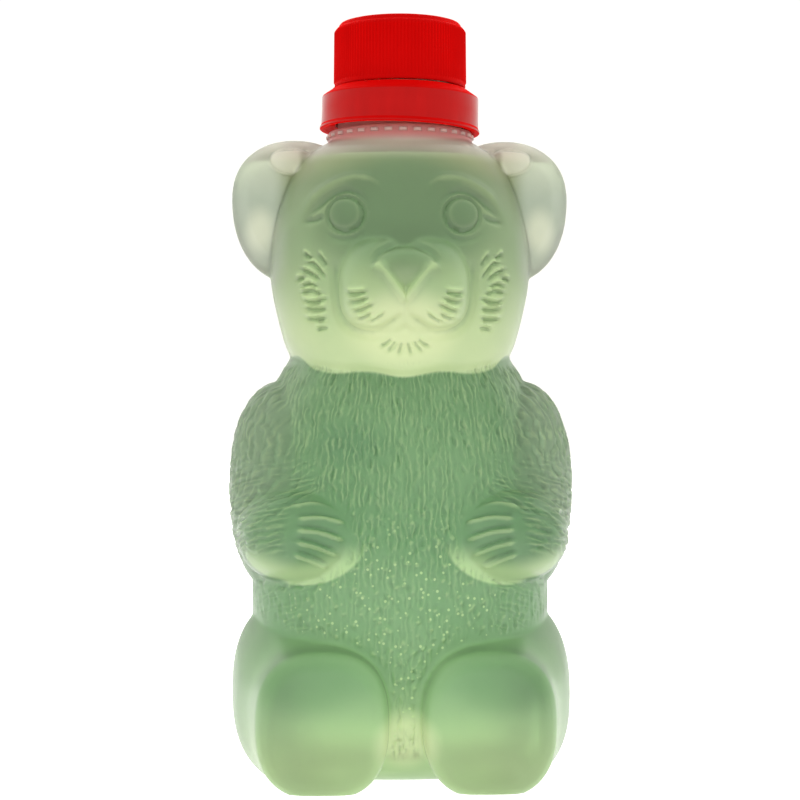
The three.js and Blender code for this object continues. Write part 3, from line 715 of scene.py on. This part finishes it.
def bridge_rims(obj, low, high):
    """Bridges the two open rims whose points lie between two heights."""
    only(obj)
    bpy.ops.object.mode_set(mode="EDIT")
    bpy.ops.mesh.select_mode(type="EDGE")
    bpy.ops.mesh.select_all(action="DESELECT")
    bpy.ops.mesh.select_non_manifold()
    bpy.ops.object.mode_set(mode="OBJECT")
    mesh = obj.data
    rim = np.zeros(len(mesh.edges), bool)
    mesh.edges.foreach_get("select", rim)
    ends = np.empty(2 * len(mesh.edges), np.int32)
    mesh.edges.foreach_get("vertices", ends)
    z = get_points(obj)[:, 2]
    rim &= ((z > low) & (z < high))[ends.reshape(-1, 2)].all(1)
    points = np.zeros(len(mesh.vertices), bool)
    points[ends.reshape(-1, 2)[rim]] = True
    mesh.vertices.foreach_set("select", points)
    mesh.edges.foreach_set("select", rim)
    mesh.polygons.foreach_set("select", np.zeros(len(mesh.polygons), bool))
    bpy.ops.object.mode_set(mode="EDIT")
    bpy.ops.mesh.bridge_edge_loops()
    bpy.ops.mesh.select_mode(type="VERT")
    bpy.ops.object.mode_set(mode="OBJECT")
    return int(rim.sum())


# %% Close the wall
SKIN_LIMIT = 154000
SKIN_REACH, LINING_REACH, WHOLE_REACH = 18.6, 17.4, 60.0  # how far from the axis each cut goes


def triangle_count(obj):
    return sum(len(face.vertices) - 2 for face in obj.data.polygons)


modify(skin, "DECIMATE", ratio=SKIN_LIMIT / triangle_count(skin))
cut_above(skin, SKIN_CUT, SKIN_REACH)
cut_above(lining, LINING_CUT, LINING_REACH)
cut_above(lining, DRINK_LEVEL, WHOLE_REACH, clear=False)
inside = lining.data.attributes.new("inside", "FLOAT", "FACE")
inside.data.foreach_set("value", np.ones(len(lining.data.polygons), np.float32))
bottle = join("bear_bottle", [skin, lining, neck])
print("outer rim edges:", bridge_rims(bottle, 149.3, 150.0))
print("inner rim edges:", bridge_rims(bottle, 148.3, 149.3))
clean(bottle)
bottle = join("bear_bottle", [bottle, neck_thread])
only(bottle)
bpy.ops.object.shade_smooth_by_angle(angle=math.radians(38))
print("bottle:", triangle_count(bottle), "triangles")
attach(bottle, "bottle")
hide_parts("bottle_body")

# %% [markdown]
# ## The drink
# The bottle is full to just under the crown. The drink is the copy of the lining, drawn in by a hair so that
# the two surfaces don't fight, and cut level at the top.

# %% Fill the bottle
DRINK_GAP = 0.12
set_points(drink, get_points(drink) - DRINK_GAP * get_normals(drink))
cut_above(drink, DRINK_LEVEL, WHOLE_REACH, fill=True)
clean(drink)
only(drink)
bpy.ops.object.shade_smooth_by_angle(angle=math.radians(40))
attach(drink, "bottle")
print("drink:", len(drink.data.polygons), "faces up to", DRINK_LEVEL, "mm")

# %% [markdown]
# ## The screw cap
# The cap is moulded in red plastic, with fine grip ribs all round and a flat top disc a little narrower than
# the skirt. It is spun with several columns for each rib, and the ribs are then waves of the outer wall. Its
# thread lies half a pitch above the neck's, so that the two stay clear all the way up.

# %% Spin the cap
CAP_RIBS, RIB_RISE = 120, 0.3
CAP_COLUMNS = 4
CAP_TOP = 177.8
CAP_SKIRT = 162.5
cap = spun("screw_cap_shell", [
    (0.0, CAP_TOP - 0.12), (9.0, CAP_TOP - 0.1), (13.0, CAP_TOP), (13.8, CAP_TOP), (14.3, CAP_TOP - 0.15),
    (14.6, CAP_TOP - 0.5), (14.7, CAP_TOP - 1.0), (14.85, CAP_TOP - 1.15), (15.2, CAP_TOP - 1.3),
    (15.45, CAP_TOP - 1.6), (15.5, CAP_TOP - 2.1), (15.5, CAP_TOP - 2.5), (15.6, CAP_SKIRT + 1.3),
    (15.65, CAP_SKIRT + 0.9), (15.7, CAP_SKIRT + 0.3), (15.5, CAP_SKIRT), (14.55, CAP_SKIRT),
    (14.3, CAP_SKIRT + 0.35), (14.3, CAP_TOP - 1.9), (14.05, CAP_TOP - 1.6), (0.0, CAP_TOP - 1.6),
], CAP_RIBS * CAP_COLUMNS)
points = get_points(cap)
angle, radius = around(points)
ribbed = (radius > 15.47) & (points[:, 2] > CAP_SKIRT + 1.2) & (points[:, 2] < CAP_TOP - 2.05)
set_points(cap, push_out(points, np.where(ribbed, RIB_RISE * rib_wave(angle, CAP_RIBS), 0)))
cap_thread = thread("cap_thread", 14.3, -1, 1.05, THREAD_START + THREAD_PITCH / 2, CAP_THREAD_TURNS)
cap = join("screw_cap_shell", [cap, cap_thread])
only(cap)
bpy.ops.object.shade_smooth_by_angle(angle=math.radians(40))
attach(cap, "cap")
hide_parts("screw_cap")
print("cap:", len(cap.data.polygons), "faces")

# %% [markdown]
# ## The tamper band
# Opening the bottle breaks the band off the cap, and it stays loose on the neck with the stubs of its
# bridges. It is a thin spun ring with a sloping shoulder and a lip turned in under the bead. Loose rings
# never hang quite level, so it is tipped a little about the axis that points at the viewer.

# %% Spin the band and tip it
BAND_TILT = math.radians(0.8), math.radians(1.8)  # at its shoulder, and at its lower edge
BAND_LOW, BAND_HIGH = 152.0, 160.0
BRIDGES = 8
STUB_RADIUS, STUB_Z = 16.3, 161.1
band = spun("loose_band", [
    (15.4, 153.1), (17.8, 152.25), (18.0, 152.1), (19.0, 152.05), (19.15, 152.2), (19.15, 152.6),
    (18.95, 152.9), (18.8, 153.2), (18.75, 156.5), (18.75, 159.9), (18.6, 160.2), (18.2, 160.5),
    (15.9, 162.1), (15.7, 162.05), (15.7, 161.4), (17.6, 159.6), (17.85, 159.2), (17.9, 155.0),
    (17.8, 154.6), (15.6, 153.9), (15.4, 153.7), (15.4, 153.1),
], 160)
stubs = []
for bridge in range(BRIDGES):
    bpy.ops.mesh.primitive_cube_add(size=1)
    stub = bpy.context.object
    bpy.ops.object.mode_set(mode="EDIT")
    bpy.ops.mesh.select_all(action="SELECT")
    bpy.ops.transform.resize(value=(0.9 * MM, 1.0 * MM, 1.5 * MM))
    bpy.ops.mesh.bevel(offset=0.18 * MM, segments=2)
    bpy.ops.object.mode_set(mode="OBJECT")
    angle = 2 * math.pi * (bridge + 0.3) / BRIDGES
    x, y, z = (get_points(stub) + (STUB_RADIUS, 0, STUB_Z)).T
    x = x - 0.3 * np.clip(z - STUB_Z, 0, 1)
    set_points(stub, np.stack([x * math.cos(angle) - y * math.sin(angle),
                               x * math.sin(angle) + y * math.cos(angle) + AXIS_Y, z], 1))
    stubs.append(stub)
band = join("loose_band", [band, *stubs])
x, y, z = get_points(band).T
tilt = np.interp(z, (BAND_LOW, BAND_HIGH), BAND_TILT[::-1])
middle = (BAND_LOW + BAND_HIGH) / 2
set_points(band, np.stack([x + (z - middle) * np.sin(tilt), y, z - x * np.sin(tilt)], 1))
only(band)
bpy.ops.object.shade_smooth_by_angle(angle=math.radians(35))
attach(band, "tamper_band")
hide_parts("tamper_band")
print("band:", len(band.data.polygons), "faces")

# %% [markdown]
# ## Finishes
# A finish is a network of shader nodes. Written out node by node it is hard to read, so a small class wraps
# an output socket and lets Python's own signs build the Math nodes. One method adds any other node.

# %% Shader expressions
class Wire:
    """An output socket that can be used in a sum."""

    def __init__(self, tree, socket):
        self.tree, self.socket = tree, socket

    def math(self, operation, *values):
        node = self.tree.nodes.new("ShaderNodeMath")
        node.operation = operation
        for place, value in enumerate(values):
            if isinstance(value, Wire):
                self.tree.links.new(value.socket, node.inputs[place])
            else:
                node.inputs[place].default_value = value
        return Wire(self.tree, node.outputs[0])

    def __add__(self, other):
        return self.math("ADD", self, other)

    def __radd__(self, other):
        return self.math("ADD", other, self)

    def __sub__(self, other):
        return self.math("SUBTRACT", self, other)

    def __rsub__(self, other):
        return self.math("SUBTRACT", other, self)

    def __mul__(self, other):
        return self.math("MULTIPLY", self, other)

    def __rmul__(self, other):
        return self.math("MULTIPLY", other, self)

    def __truediv__(self, other):
        return self.math("DIVIDE", self, other)

    def size(self):
        return self.math("ABSOLUTE", self)

    def root(self):
        return self.math("SQRT", self)

    def sine(self):
        return self.math("SINE", self)

    def turn_from(self, other):
        return self.math("ARCTAN2", self, other)


class Graph:
    """A tree of nodes, built from expressions."""

    def __init__(self, tree):
        self.tree = tree

    def node(self, kind, settings=None, inputs=None, output=0):
        node = self.tree.nodes.new(kind)
        for key, value in (settings or {}).items():
            if key == "stops":
                while len(node.color_ramp.elements) < len(value):
                    node.color_ramp.elements.new(0.5)
                for element, (at, colour) in zip(node.color_ramp.elements, value):
                    element.position, element.color = at, (*colour, 1)
            else:
                setattr(node, key, value)
        for key, value in (inputs or {}).items():
            if isinstance(value, Wire):
                self.tree.links.new(value.socket, node.inputs[key])
            else:
                node.inputs[key].default_value = value
        return Wire(self.tree, node.outputs[output])

    def step(self, value, low, high):
        """0 below low, 1 above high, and smooth between; low may be the larger one."""
        return self.node("ShaderNodeMapRange", {"interpolation_type": "SMOOTHSTEP"},
                         {0: value, 1: low, 2: high, 3: 0.0, 4: 1.0})

    def within(self, value, start, full, last, end):
        """1 from full to last, and smooth down to 0 at start and at end."""
        return self.step(value, start, full) * self.step(value, end, last)

    def parts(self, vector):
        return [self.node("ShaderNodeSeparateXYZ", inputs={0: vector}, output=k) for k in (0, 1, 2)]


class Finish(Graph):
    """A material with one shader. Its places are in millimetres."""

    def __init__(self, name):
        self.material = bpy.data.materials.new(name)
        self.material.use_nodes = True
        super().__init__(self.material.node_tree)
        self.tree.nodes.clear()
        self.end = self.tree.nodes.new("ShaderNodeOutputMaterial")
        place = self.node("ShaderNodeTexCoord", output="Object")
        self.place = self.node("ShaderNodeVectorMath", {"operation": "SCALE"}, {0: place, "Scale": 1 / MM})
        self.x, self.y, self.z = self.parts(self.place)

    def noise(self, size, detail=2.0, stretch=(1, 1, 1)):
        """Noise with blotches of about the given size in millimetres."""
        place = self.node("ShaderNodeMapping", {}, {"Vector": self.place, "Scale": stretch})
        return self.node("ShaderNodeTexNoise", {}, {"Vector": place, "Scale": 1 / size, "Detail": detail})

    def mix(self, share, first, second):
        """Blends two colours."""
        inputs = {0: share, 6: first if isinstance(first, Wire) else (*first, 1),
                  7: second if isinstance(second, Wire) else (*second, 1)}
        return self.node("ShaderNodeMix", {"data_type": "RGBA"}, inputs, output=2)

    def bump(self, height, distance, strength=1.0):
        return self.node("ShaderNodeBump", {},
                         {"Height": height, "Distance": distance * MM, "Strength": strength})

    def shade(self, inputs, on):
        shader = self.node("ShaderNodeBsdfPrincipled", {}, inputs)
        self.tree.links.new(shader.socket, self.end.inputs["Surface"])
        on.data.materials.append(self.material)


# %% [markdown]
# ### Milky plastic
# The wall is natural polyethylene: it lets light through but scatters it, so it looks frosted, and its colour
# comes from the drink behind it. A true volume of drink could give that colour. A tint in the wall is quicker
# to render and easier to steer, so here it follows the height: deep green on the torso and nearly grey on the
# ears, which are thin. Light and shade are painted into the same tint: a painted glow from the light table
# below makes the base and the chin yellow-green, and painted shade darkens the body upwards and the brow.

# %% Tints and painted light by height
milky = Finish("milky_plastic")
HEIGHT = 180.0
BODY_TINT_AND_PAINTED_LIGHT = [  # height in millimetres and the wall's tint: drink green, painted glow near the base, painted shade above
    (0, (0.40, 0.54, 0.27)), (6, (0.56, 0.74, 0.38)), (14, (0.38, 0.55, 0.29)), (24, (0.21, 0.37, 0.19)),
    (40, (0.19, 0.355, 0.185)), (60, (0.15, 0.30, 0.15)), (93, (0.14, 0.265, 0.13)),
]
# on the face, painted light from the floor makes the chin pale yellow-green, and painted shade darkens it up
# to the brow
FACE_TINT_AND_PAINTED_LIGHT = [
    (93, (0.76, 0.83, 0.50)), (104, (0.68, 0.77, 0.45)), (114, (0.46, 0.56, 0.32)),
    (124, (0.28, 0.35, 0.20)), (138, (0.23, 0.27, 0.15)), (145, (0.40, 0.37, 0.21)),
]
EARS = [
    (112, (0.46, 0.50, 0.36)), (122, (0.44, 0.48, 0.40)), (136, (0.44, 0.49, 0.42)),
    (146, (0.62, 0.63, 0.52)), (150, (0.85, 0.82, 0.72)),
]


def by_height(table):
    stops = [(z / HEIGHT, colour) for z, colour in table]
    return milky.node("ShaderNodeValToRGB", {"stops": stops}, {0: milky.z / HEIGHT})


shoulder = 1 - (1 - milky.step(milky.x.size(), 20.5, 25.0)) * (1 - milky.step(milky.y, 0.0, 10.0))
neckline = milky.z - 4.2 * shoulder + CHIN_WAVE * (CHIN_WAVES * milky.x + math.pi / 2).sine()
neckline = neckline - CHIN_RISE * milky.x * milky.x * (1 - shoulder)
head_part = milky.step(neckline, 92.9, 93.7)
tint = milky.mix(head_part, by_height(BODY_TINT_AND_PAINTED_LIGHT), by_height(FACE_TINT_AND_PAINTED_LIGHT))
print("tints by height:", len(BODY_TINT_AND_PAINTED_LIGHT + FACE_TINT_AND_PAINTED_LIGHT + EARS))

# %% [markdown]
# ### Places with a tint, painted light or painted shade of their own
# Where a form is thin, or lies above the drink, the wall is paler. Other places hold painted light: the
# muzzle, the lower edges of the paws and soles and the wall between the feet are painted pale as if lit from
# the floor, the outer edges of the ears get a painted glow, the ear folds a painted highlight, and the collar
# a painted red glow from the cap. Painted shade darkens the brow and the soles. The torso also has a darker
# patch on its upper left. Each such place gets a mask, mostly an oval seen from the front with its mirror
# image, limited in depth. Masks are numbers from 0 to 1, so they can be multiplied to keep only what they
# share.

# %% Masks on the head and the neck
def far_from(x, z, half_width, half_height):
    """0 at a place and its mirror image, 1 on an oval round each."""
    across, up = (milky.x.size() - x) / half_width, (milky.z - z) / half_height
    return (across * across + up * up).root()


def oval(place, edge, full):
    return milky.step(far_from(*place), edge, full)


# each oval: sideways place, height, half width, half height
FOREHEAD, MUZZLE = (0.0, 131.0, 27.0, 19.0), (0.0, 103.0, 17.0, 11.0)
POCKET, EAR_GLOW = (26.4, 144.4, 5.4, 3.5), (33.3, 128.0, 5.0, 7.5)
wrapped = WRAP_RADIUS * milky.x.turn_from(AXIS_Y - milky.y)
aside = wrapped.size()
radius = (milky.x * milky.x + (milky.y - AXIS_Y) * (milky.y - AXIS_Y)).root()
# painted shade: the brow and forehead are darkened
forehead_shade = oval(FOREHEAD, 1.0, 0.5) * head_part * milky.step(milky.y, 4.0, -8.0)
# painted light: the muzzle is painted pale yellow, as if lit from the floor below
muzzle_glow = oval(MUZZLE, 1.0, 0.35) * milky.step(milky.y, -18.0, -22.0) * head_part
ear_part = milky.step(milky.x.size(), 25.5, 31.0) * milky.step(milky.z, 112.0, 120.0)
# painted glow on the outer edges of the ears
ear_glow = oval(EAR_GLOW, 1.0, 0.2) * milky.step(milky.y, 6.0, 3.0)
# painted highlight in the fold at the top of each ear
pocket_highlight = oval(POCKET, 1.0, 0.75) * milky.step(milky.y, 4.0, 1.0) * milky.step(milky.x.size(), 23.2, 24.6)
dry = milky.step(milky.z, 142.5, 148.0)
# painted light: red light from the cap and band, painted on the milky collar
collar_red_glow = milky.within(milky.z, 147.5, 150.0, 152.5, 156.0) * milky.step(radius, 19.5, 18.0)
dash = milky.step((DASHES / WRAP_RADIUS * wrapped + math.pi / 2).sine(), -0.4, 0.2)
dash = dash * milky.within(milky.z, 149.95, 150.2, 150.8, 151.05)
print("nodes so far:", len(milky.tree.nodes))

# %% Masks on the body
SOLE, FEET_GAP = (22.0, 27.0, 17.0, 12.0), (0.0, 11.0, 9.0, 8.5)
PAW = (24.0, 56.6, 14.8, 10.9)
arm_part = milky.within(aside, 24.0, 36.0, 56.0, 66.0) * milky.step(milky.z, 43.0, 50.0) * (1 - head_part)
thigh_part = milky.step(milky.x.size(), 29.0, 38.0) * milky.step(milky.z, 46.0, 42.0)
# painted shade over the front of each sole
sole_shade = oval(SOLE, 1.0, 0.4) * milky.step(milky.y, -24.0, -33.0)
# painted light from the floor on the lower edge of the soles
sole_floor_glow = milky.step(milky.z, 20.0, 6.0) * milky.step(milky.y, -14.0, -32.0)
# painted light from the floor on the wall between the feet
between_feet_glow = oval(FEET_GAP, 1.0, 0.3) * milky.step(milky.y, 0.0, -8.0)
# painted light on the lower rim of each paw
paw_rim_glow = milky.within(far_from(*PAW), 0.3, 0.8, 0.99, 1.06)
paw_rim_glow = paw_rim_glow * milky.step(milky.z, 56.0, 49.0) * milky.step(milky.y, -17.0, -20.0)
patch_x, patch_z = (milky.x + 12.0) / 11.0, (milky.z - 77.5) / 6.5
patch = (patch_x * patch_x + patch_z * patch_z).root() + 0.6 * milky.noise(6.0, 3.0)
patch = milky.step(patch, 1.4, 0.5) * milky.step(milky.y, 0.0, -6.0)
cloud = milky.step(milky.noise(22.0, 3.0), 0.35, 0.7)
print("nodes so far:", len(milky.tree.nodes))

# %% [markdown]
# ### Hair and grains in the finish
# The carved fur is as fine as the mesh allows. Finer strands between the carved ones come from the shader: a
# sine wave across the hair, bent by noise, upright on the body and swept on the forearms, painted as a dark
# line of painted shade beside a pale painted highlight. Small pale dots on the lower belly are the middles of
# Voronoi cells. Both appear only where the mesh is marked as furry.

# %% Strands and specks
STRAND_GAP, SWAY = 1.4, 13.0  # millimetres from strand to strand, and how strongly noise bends them
SWEEP = 1.3  # how far the hair on the forearms leans, in radians
SPECK_GAP = 1.8
PAW_CLEAR = (23.2, 56.6, 14.5, 11.5)


def strands(across, along):
    """Wavy lines along one direction: from -1 to 1 across each."""
    place = milky.node("ShaderNodeCombineXYZ", {}, {0: across / 2.6, 1: along / 4.8})
    sway = milky.node("ShaderNodeTexNoise", {}, {"Vector": place, "Scale": 1.0, "Detail": 2.0})
    return (across * (2 * math.pi / STRAND_GAP) + SWAY * sway).sine()


def marked(name):
    return milky.node("ShaderNodeAttribute", {"attribute_name": name}, output="Fac")


upright_hair = strands(wrapped, milky.z)
swept_hair = strands(aside * math.cos(SWEEP) + milky.z * math.sin(SWEEP),
                     milky.z * math.cos(SWEEP) - aside * math.sin(SWEEP))
forearm = milky.within(aside, 20.0, 23.0, 58.0, 62.0) * milky.step(milky.z, 79.0, 67.0)
hair = upright_hair + forearm * (swept_hair - upright_hair)
fur, relief = marked("fur"), marked("relief")
furry = fur * milky.step(milky.noise(3.2, 2.0), 0.35, 0.6) * (0.5 + 0.5 * milky.step(milky.z, 40.0, 58.0))
cells = milky.node("ShaderNodeTexVoronoi", {}, {"Vector": milky.place, "Scale": 1 / SPECK_GAP})
specks = milky.step(cells, 0.22, 0.14) * milky.within(milky.z, 6.0, 12.0, 50.0, 66.0)
specks = specks * milky.step(aside, 34.0, 20.0) * milky.step(fur, 0.4, 0.8) * oval(PAW_CLEAR, 0.98, 1.06)
print("nodes so far:", len(milky.tree.nodes))

# %% [markdown]
# ### Laying the tints over one another
# As with glazes of paint, the order counts: broad tints first, then single places, then grooves, ridges and
# hair. Each row of the list is a share and a colour. Grooves and the dark line of each strand are painted
# shade, and ridges and the pale line of each strand are painted highlights. Frost and fine hair are also a
# bump, so that the light catches them.

# %% Finish the bottle
# painted shade for grooves and strands; painted highlight for ridges and strands, also the pale specks' colour
GROOVE_SHADE, RIDGE_HIGHLIGHT_AND_SPECKS = (0.07, 0.15, 0.08), (0.80, 0.92, 0.52)
GLAZES = [
    (0.3 * cloud, (0.34, 0.50, 0.30)),
    (0.5 * patch, (0.075, 0.19, 0.105)),
    # painted shade on the brow
    (0.9 * forehead_shade, (0.10, 0.175, 0.095)),
    # painted light on the muzzle
    (0.9 * muzzle_glow, (1.00, 1.00, 0.64)),
    (0.75 * arm_part, (0.38, 0.48, 0.35)),
    (0.6 * thigh_part, (0.48, 0.60, 0.45)),
    # painted shade on the soles
    (0.6 * sole_shade, (0.14, 0.29, 0.13)),
    # painted light from the floor on the soles' lower edges, between the feet and on the paws' rims
    (0.6 * sole_floor_glow, (0.62, 0.82, 0.40)),
    (0.9 * between_feet_glow, (1.00, 1.00, 0.66)),
    (0.9 * paw_rim_glow, (0.76, 0.92, 0.52)),
    (dry, (0.72, 0.68, 0.60)),
    (ear_part, by_height(EARS)),
    # painted glow on the ears' outer edges
    (0.85 * ear_glow, (1.00, 0.97, 0.80)),
    (0.35 * ear_part * milky.noise(5.0, 3.0), (0.80, 0.80, 0.76)),
    # painted highlight in the ear folds
    (0.7 * pocket_highlight, (1.00, 0.96, 0.85)),
    # painted red glow on the collar
    (0.85 * collar_red_glow, (0.86, 0.20, 0.20)),
    (0.7 * dash, (1.00, 0.84, 0.76)),
    # painted shade in the carved grooves and painted highlight on the ridges, then the same on the strands
    (0.38 * milky.step(relief, -0.03, -0.4), GROOVE_SHADE),
    (0.36 * milky.step(relief, 0.03, 0.4), RIDGE_HIGHLIGHT_AND_SPECKS),
    (0.28 * furry * milky.step(hair, 0.1, -0.9), GROOVE_SHADE),
    (0.20 * furry * milky.step(hair, 0.3, 1.0), RIDGE_HIGHLIGHT_AND_SPECKS),
    (0.7 * specks, RIDGE_HIGHLIGHT_AND_SPECKS),
]
for share, colour in GLAZES:
    tint = milky.mix(share, tint, colour)
frost = milky.noise(0.9, 2.0)
milky.shade({
    "Base Color": tint,
    "Roughness": 0.38 + 0.10 * milky.noise(6.0, 3.0),
    "IOR": 1.4,
    "Transmission Weight": 0.68,
    "Specular IOR Level": 0.4,
    "Coat Weight": 0.2,
    "Coat Roughness": 0.15,
    "Normal": milky.bump(0.12 * frost + furry * hair, 0.2, 0.5),
}, bottle)
print("milky plastic:", len(GLAZES), "glazes,", len(milky.tree.nodes), "nodes")

# %% [markdown]
# ### The wet inside
# Where the drink touches the wall, light passes from one to the other almost without bending, so the inside
# of the wall hardly shows. Those faces, marked when the lining was made, get a second finish that lets light
# straight through. The dry part in the neck keeps the milky one.

# %% Finish the wet inside
wet = Finish("wet_inside")
wet.shade({
    "Base Color": wet.mix(wet.noise(12.0, 2.0), (0.93, 0.96, 0.92), (0.97, 0.98, 0.96)),
    "Roughness": 0.0,
    "IOR": 1.0,
    "Transmission Weight": 1.0,
}, bottle)
lined = np.empty(len(bottle.data.polygons), np.float32)
bottle.data.attributes["inside"].data.foreach_get("value", lined)
heights = np.empty(3 * len(bottle.data.polygons), np.float32)
bottle.data.polygons.foreach_get("center", heights)
under_drink = (lined > 0.5) & (heights.reshape(-1, 3)[:, 2] < DRINK_LEVEL * MM)
bottle.data.polygons.foreach_set("material_index", under_drink.astype(np.int32))
print("wet faces:", int(under_drink.sum()))

# %% [markdown]
# ### The drink
# A pale green drink colours light by absorbing it on the way through, which is a volume absorption. It is
# kept weak, because the wall already carries most of the green. Its surface bends nothing, because the wall
# in front is wet.

# %% Finish the drink
green_drink = Finish("green_drink")
green_drink.shade({
    "Base Color": green_drink.mix(green_drink.noise(30.0, 2.0), (0.86, 0.94, 0.82), (0.92, 0.97, 0.86)),
    "Roughness": 0.0,
    "IOR": 1.0,
    "Transmission Weight": 1.0,
}, drink)
absorption = green_drink.node("ShaderNodeVolumeAbsorption", {},
                              {"Color": (0.40, 0.68, 0.37, 1), "Density": 7.0})
green_drink.tree.links.new(absorption.socket, green_drink.end.inputs["Volume"])
print("drink finish:", len(green_drink.tree.nodes), "nodes")

# %% [markdown]
# ### Red plastic and foam
# Cap and band are the same red polypropylene, a little uneven where the hot plastic flowed and slightly
# scuffed. Light from behind makes such red plastic glow at its edges, and a sheen stands in for that: red on
# the cap, white on the band's thin wall, which also lets some light through. The band's sloping shoulder and
# its lip are as deep a red as the cap, so those faces take the cap's finish. The liner inside the cap is a
# disc of white foam.

# %% Finish the cap and the band
red_cap = Finish("red_cap_plastic")
flow = red_cap.noise(5.0, 3.0, (1, 1, 0.35))
red_cap.shade({
    "Base Color": red_cap.mix(flow, (0.38, 0.0005, 0.0004), (0.50, 0.0008, 0.0006)),
    "Roughness": 0.40 + 0.18 * red_cap.noise(1.6, 3.0),
    "Specular IOR Level": 0.02,
    "Sheen Weight": 1.0,
    "Sheen Roughness": 0.5,
    "Sheen Tint": (1.0, 0.003, 0.002, 1),
    "Normal": red_cap.bump(red_cap.noise(0.5, 2.0), 0.03, 0.4),
}, cap)
red_band = Finish("red_band_plastic")
streaks = red_band.noise(2.5, 3.0, (1, 1, 0.2))
red_band.shade({
    "Base Color": red_band.mix(streaks, (0.38, 0.0006, 0.0005), (0.50, 0.0012, 0.0009)),
    "Roughness": 0.36 + 0.2 * red_band.noise(1.2, 3.0),
    "Specular IOR Level": 0.05,
    "Transmission Weight": 0.15,
    "Sheen Weight": 0.9,
    "Sheen Roughness": 0.3,
    "Normal": red_band.bump(streaks, 0.04, 0.4),
}, band)
band.data.materials.append(red_cap.material)
STEEP = 0.3  # faces whose normal rises or falls by more than this are shoulder and lip
slopes = np.empty(3 * len(band.data.polygons), np.float32)
band.data.polygons.foreach_get("normal", slopes)
sloping = np.abs(slopes.reshape(-1, 3)[:, 2]) > STEEP
band.data.polygons.foreach_set("material_index", sloping.astype(np.int32))
print("band faces in the cap's finish:", int(sloping.sum()), "of", len(sloping))

# %% Finish the liner
foam = Finish("white_foam")
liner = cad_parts["cap_liner"]
liner.data.materials.clear()
cells = foam.node("ShaderNodeTexVoronoi", {}, {"Vector": foam.place, "Scale": 1.6})
foam.shade({
    "Base Color": foam.mix(cells, (0.80, 0.79, 0.75), (0.90, 0.89, 0.86)),
    "Roughness": 0.85 + 0.1 * foam.noise(1.0),
    "Normal": foam.bump(cells, 0.15, 0.6),
}, liner)
print("finishes:", sorted(material.name for material in bpy.data.materials))

# %% [markdown]
# ## The studio
# The bottle stands on a pale light table in front of bright white, so that light comes through it from behind
# and below. Lamps could do that, but a glowing floor and a world that is bright on all sides give softer
# light with no hard shadows. The floor is a little brighter than the white behind, as a light table is.

# %% Floor and light
class Sky(Graph):
    """The light from all round, by its direction."""

    def __init__(self, world):
        super().__init__(world.node_tree)
        self.x, self.y, self.z = self.parts(self.node("ShaderNodeTexCoord", output="Generated"))

    def light(self, colour, strength):
        background = self.node("ShaderNodeBackground", {}, {"Color": colour, "Strength": strength})
        self.tree.links.new(background.socket, self.tree.nodes["World Output"].inputs["Surface"])


bpy.ops.mesh.primitive_plane_add(size=8)
floor = bpy.context.object
floor.name = "floor"
table_top = Finish("light_table")
table_top.shade({
    "Base Color": (0.30, 0.30, 0.29, 1),
    "Roughness": 0.7,
    "Specular IOR Level": 0.0,
    "Emission Color": (1, 1, 0.98, 1),
    "Emission Strength": 1.4,
}, floor)
studio = bpy.data.worlds.new("studio")
studio.use_nodes = True
sky = Sky(studio)
behind = sky.step(sky.y, -0.3, 0.3)
sideways = sky.step(sky.z.size(), 0.5, 0.25)
above = sky.step(sky.z, 0.25, 0.8)
sky.light((1, 0.99, 0.95, 1), 0.75 + 0.32 * (1 - (1 - behind) * (1 - sideways)) + 0.45 * above)
bpy.context.scene.world = studio
bpy.context.scene.view_settings.view_transform = "Standard"
print("world:", studio.name, "with", len(studio.node_tree.nodes), "nodes")

# %% [markdown]
# ## The camera
# The view is from the front, a touch to the bear's right, a little above the height of its paws. A longer
# lens keeps the forms from swelling, and a small vertical shift frames the cap without tipping the camera.

# %% Camera
CAMERA_TURN = math.radians(2.3)
CAMERA_DISTANCE = 480.0
CAMERA_HEIGHT = 83.0
camera_data = bpy.data.cameras.new("camera")
camera = bpy.data.objects.new("camera", camera_data)
bpy.context.collection.objects.link(camera)
camera.location = (-CAMERA_DISTANCE * math.sin(CAMERA_TURN) * MM,
                   (AXIS_Y - CAMERA_DISTANCE * math.cos(CAMERA_TURN)) * MM, CAMERA_HEIGHT * MM)
camera.rotation_euler = (math.radians(90), 0, -CAMERA_TURN)
camera_data.lens = 90.0
camera_data.sensor_width = 36.0
camera_data.shift_y = 0.025
bpy.context.scene.camera = camera
print("camera:", camera_data.lens, "mm lens at", CAMERA_DISTANCE, "mm")
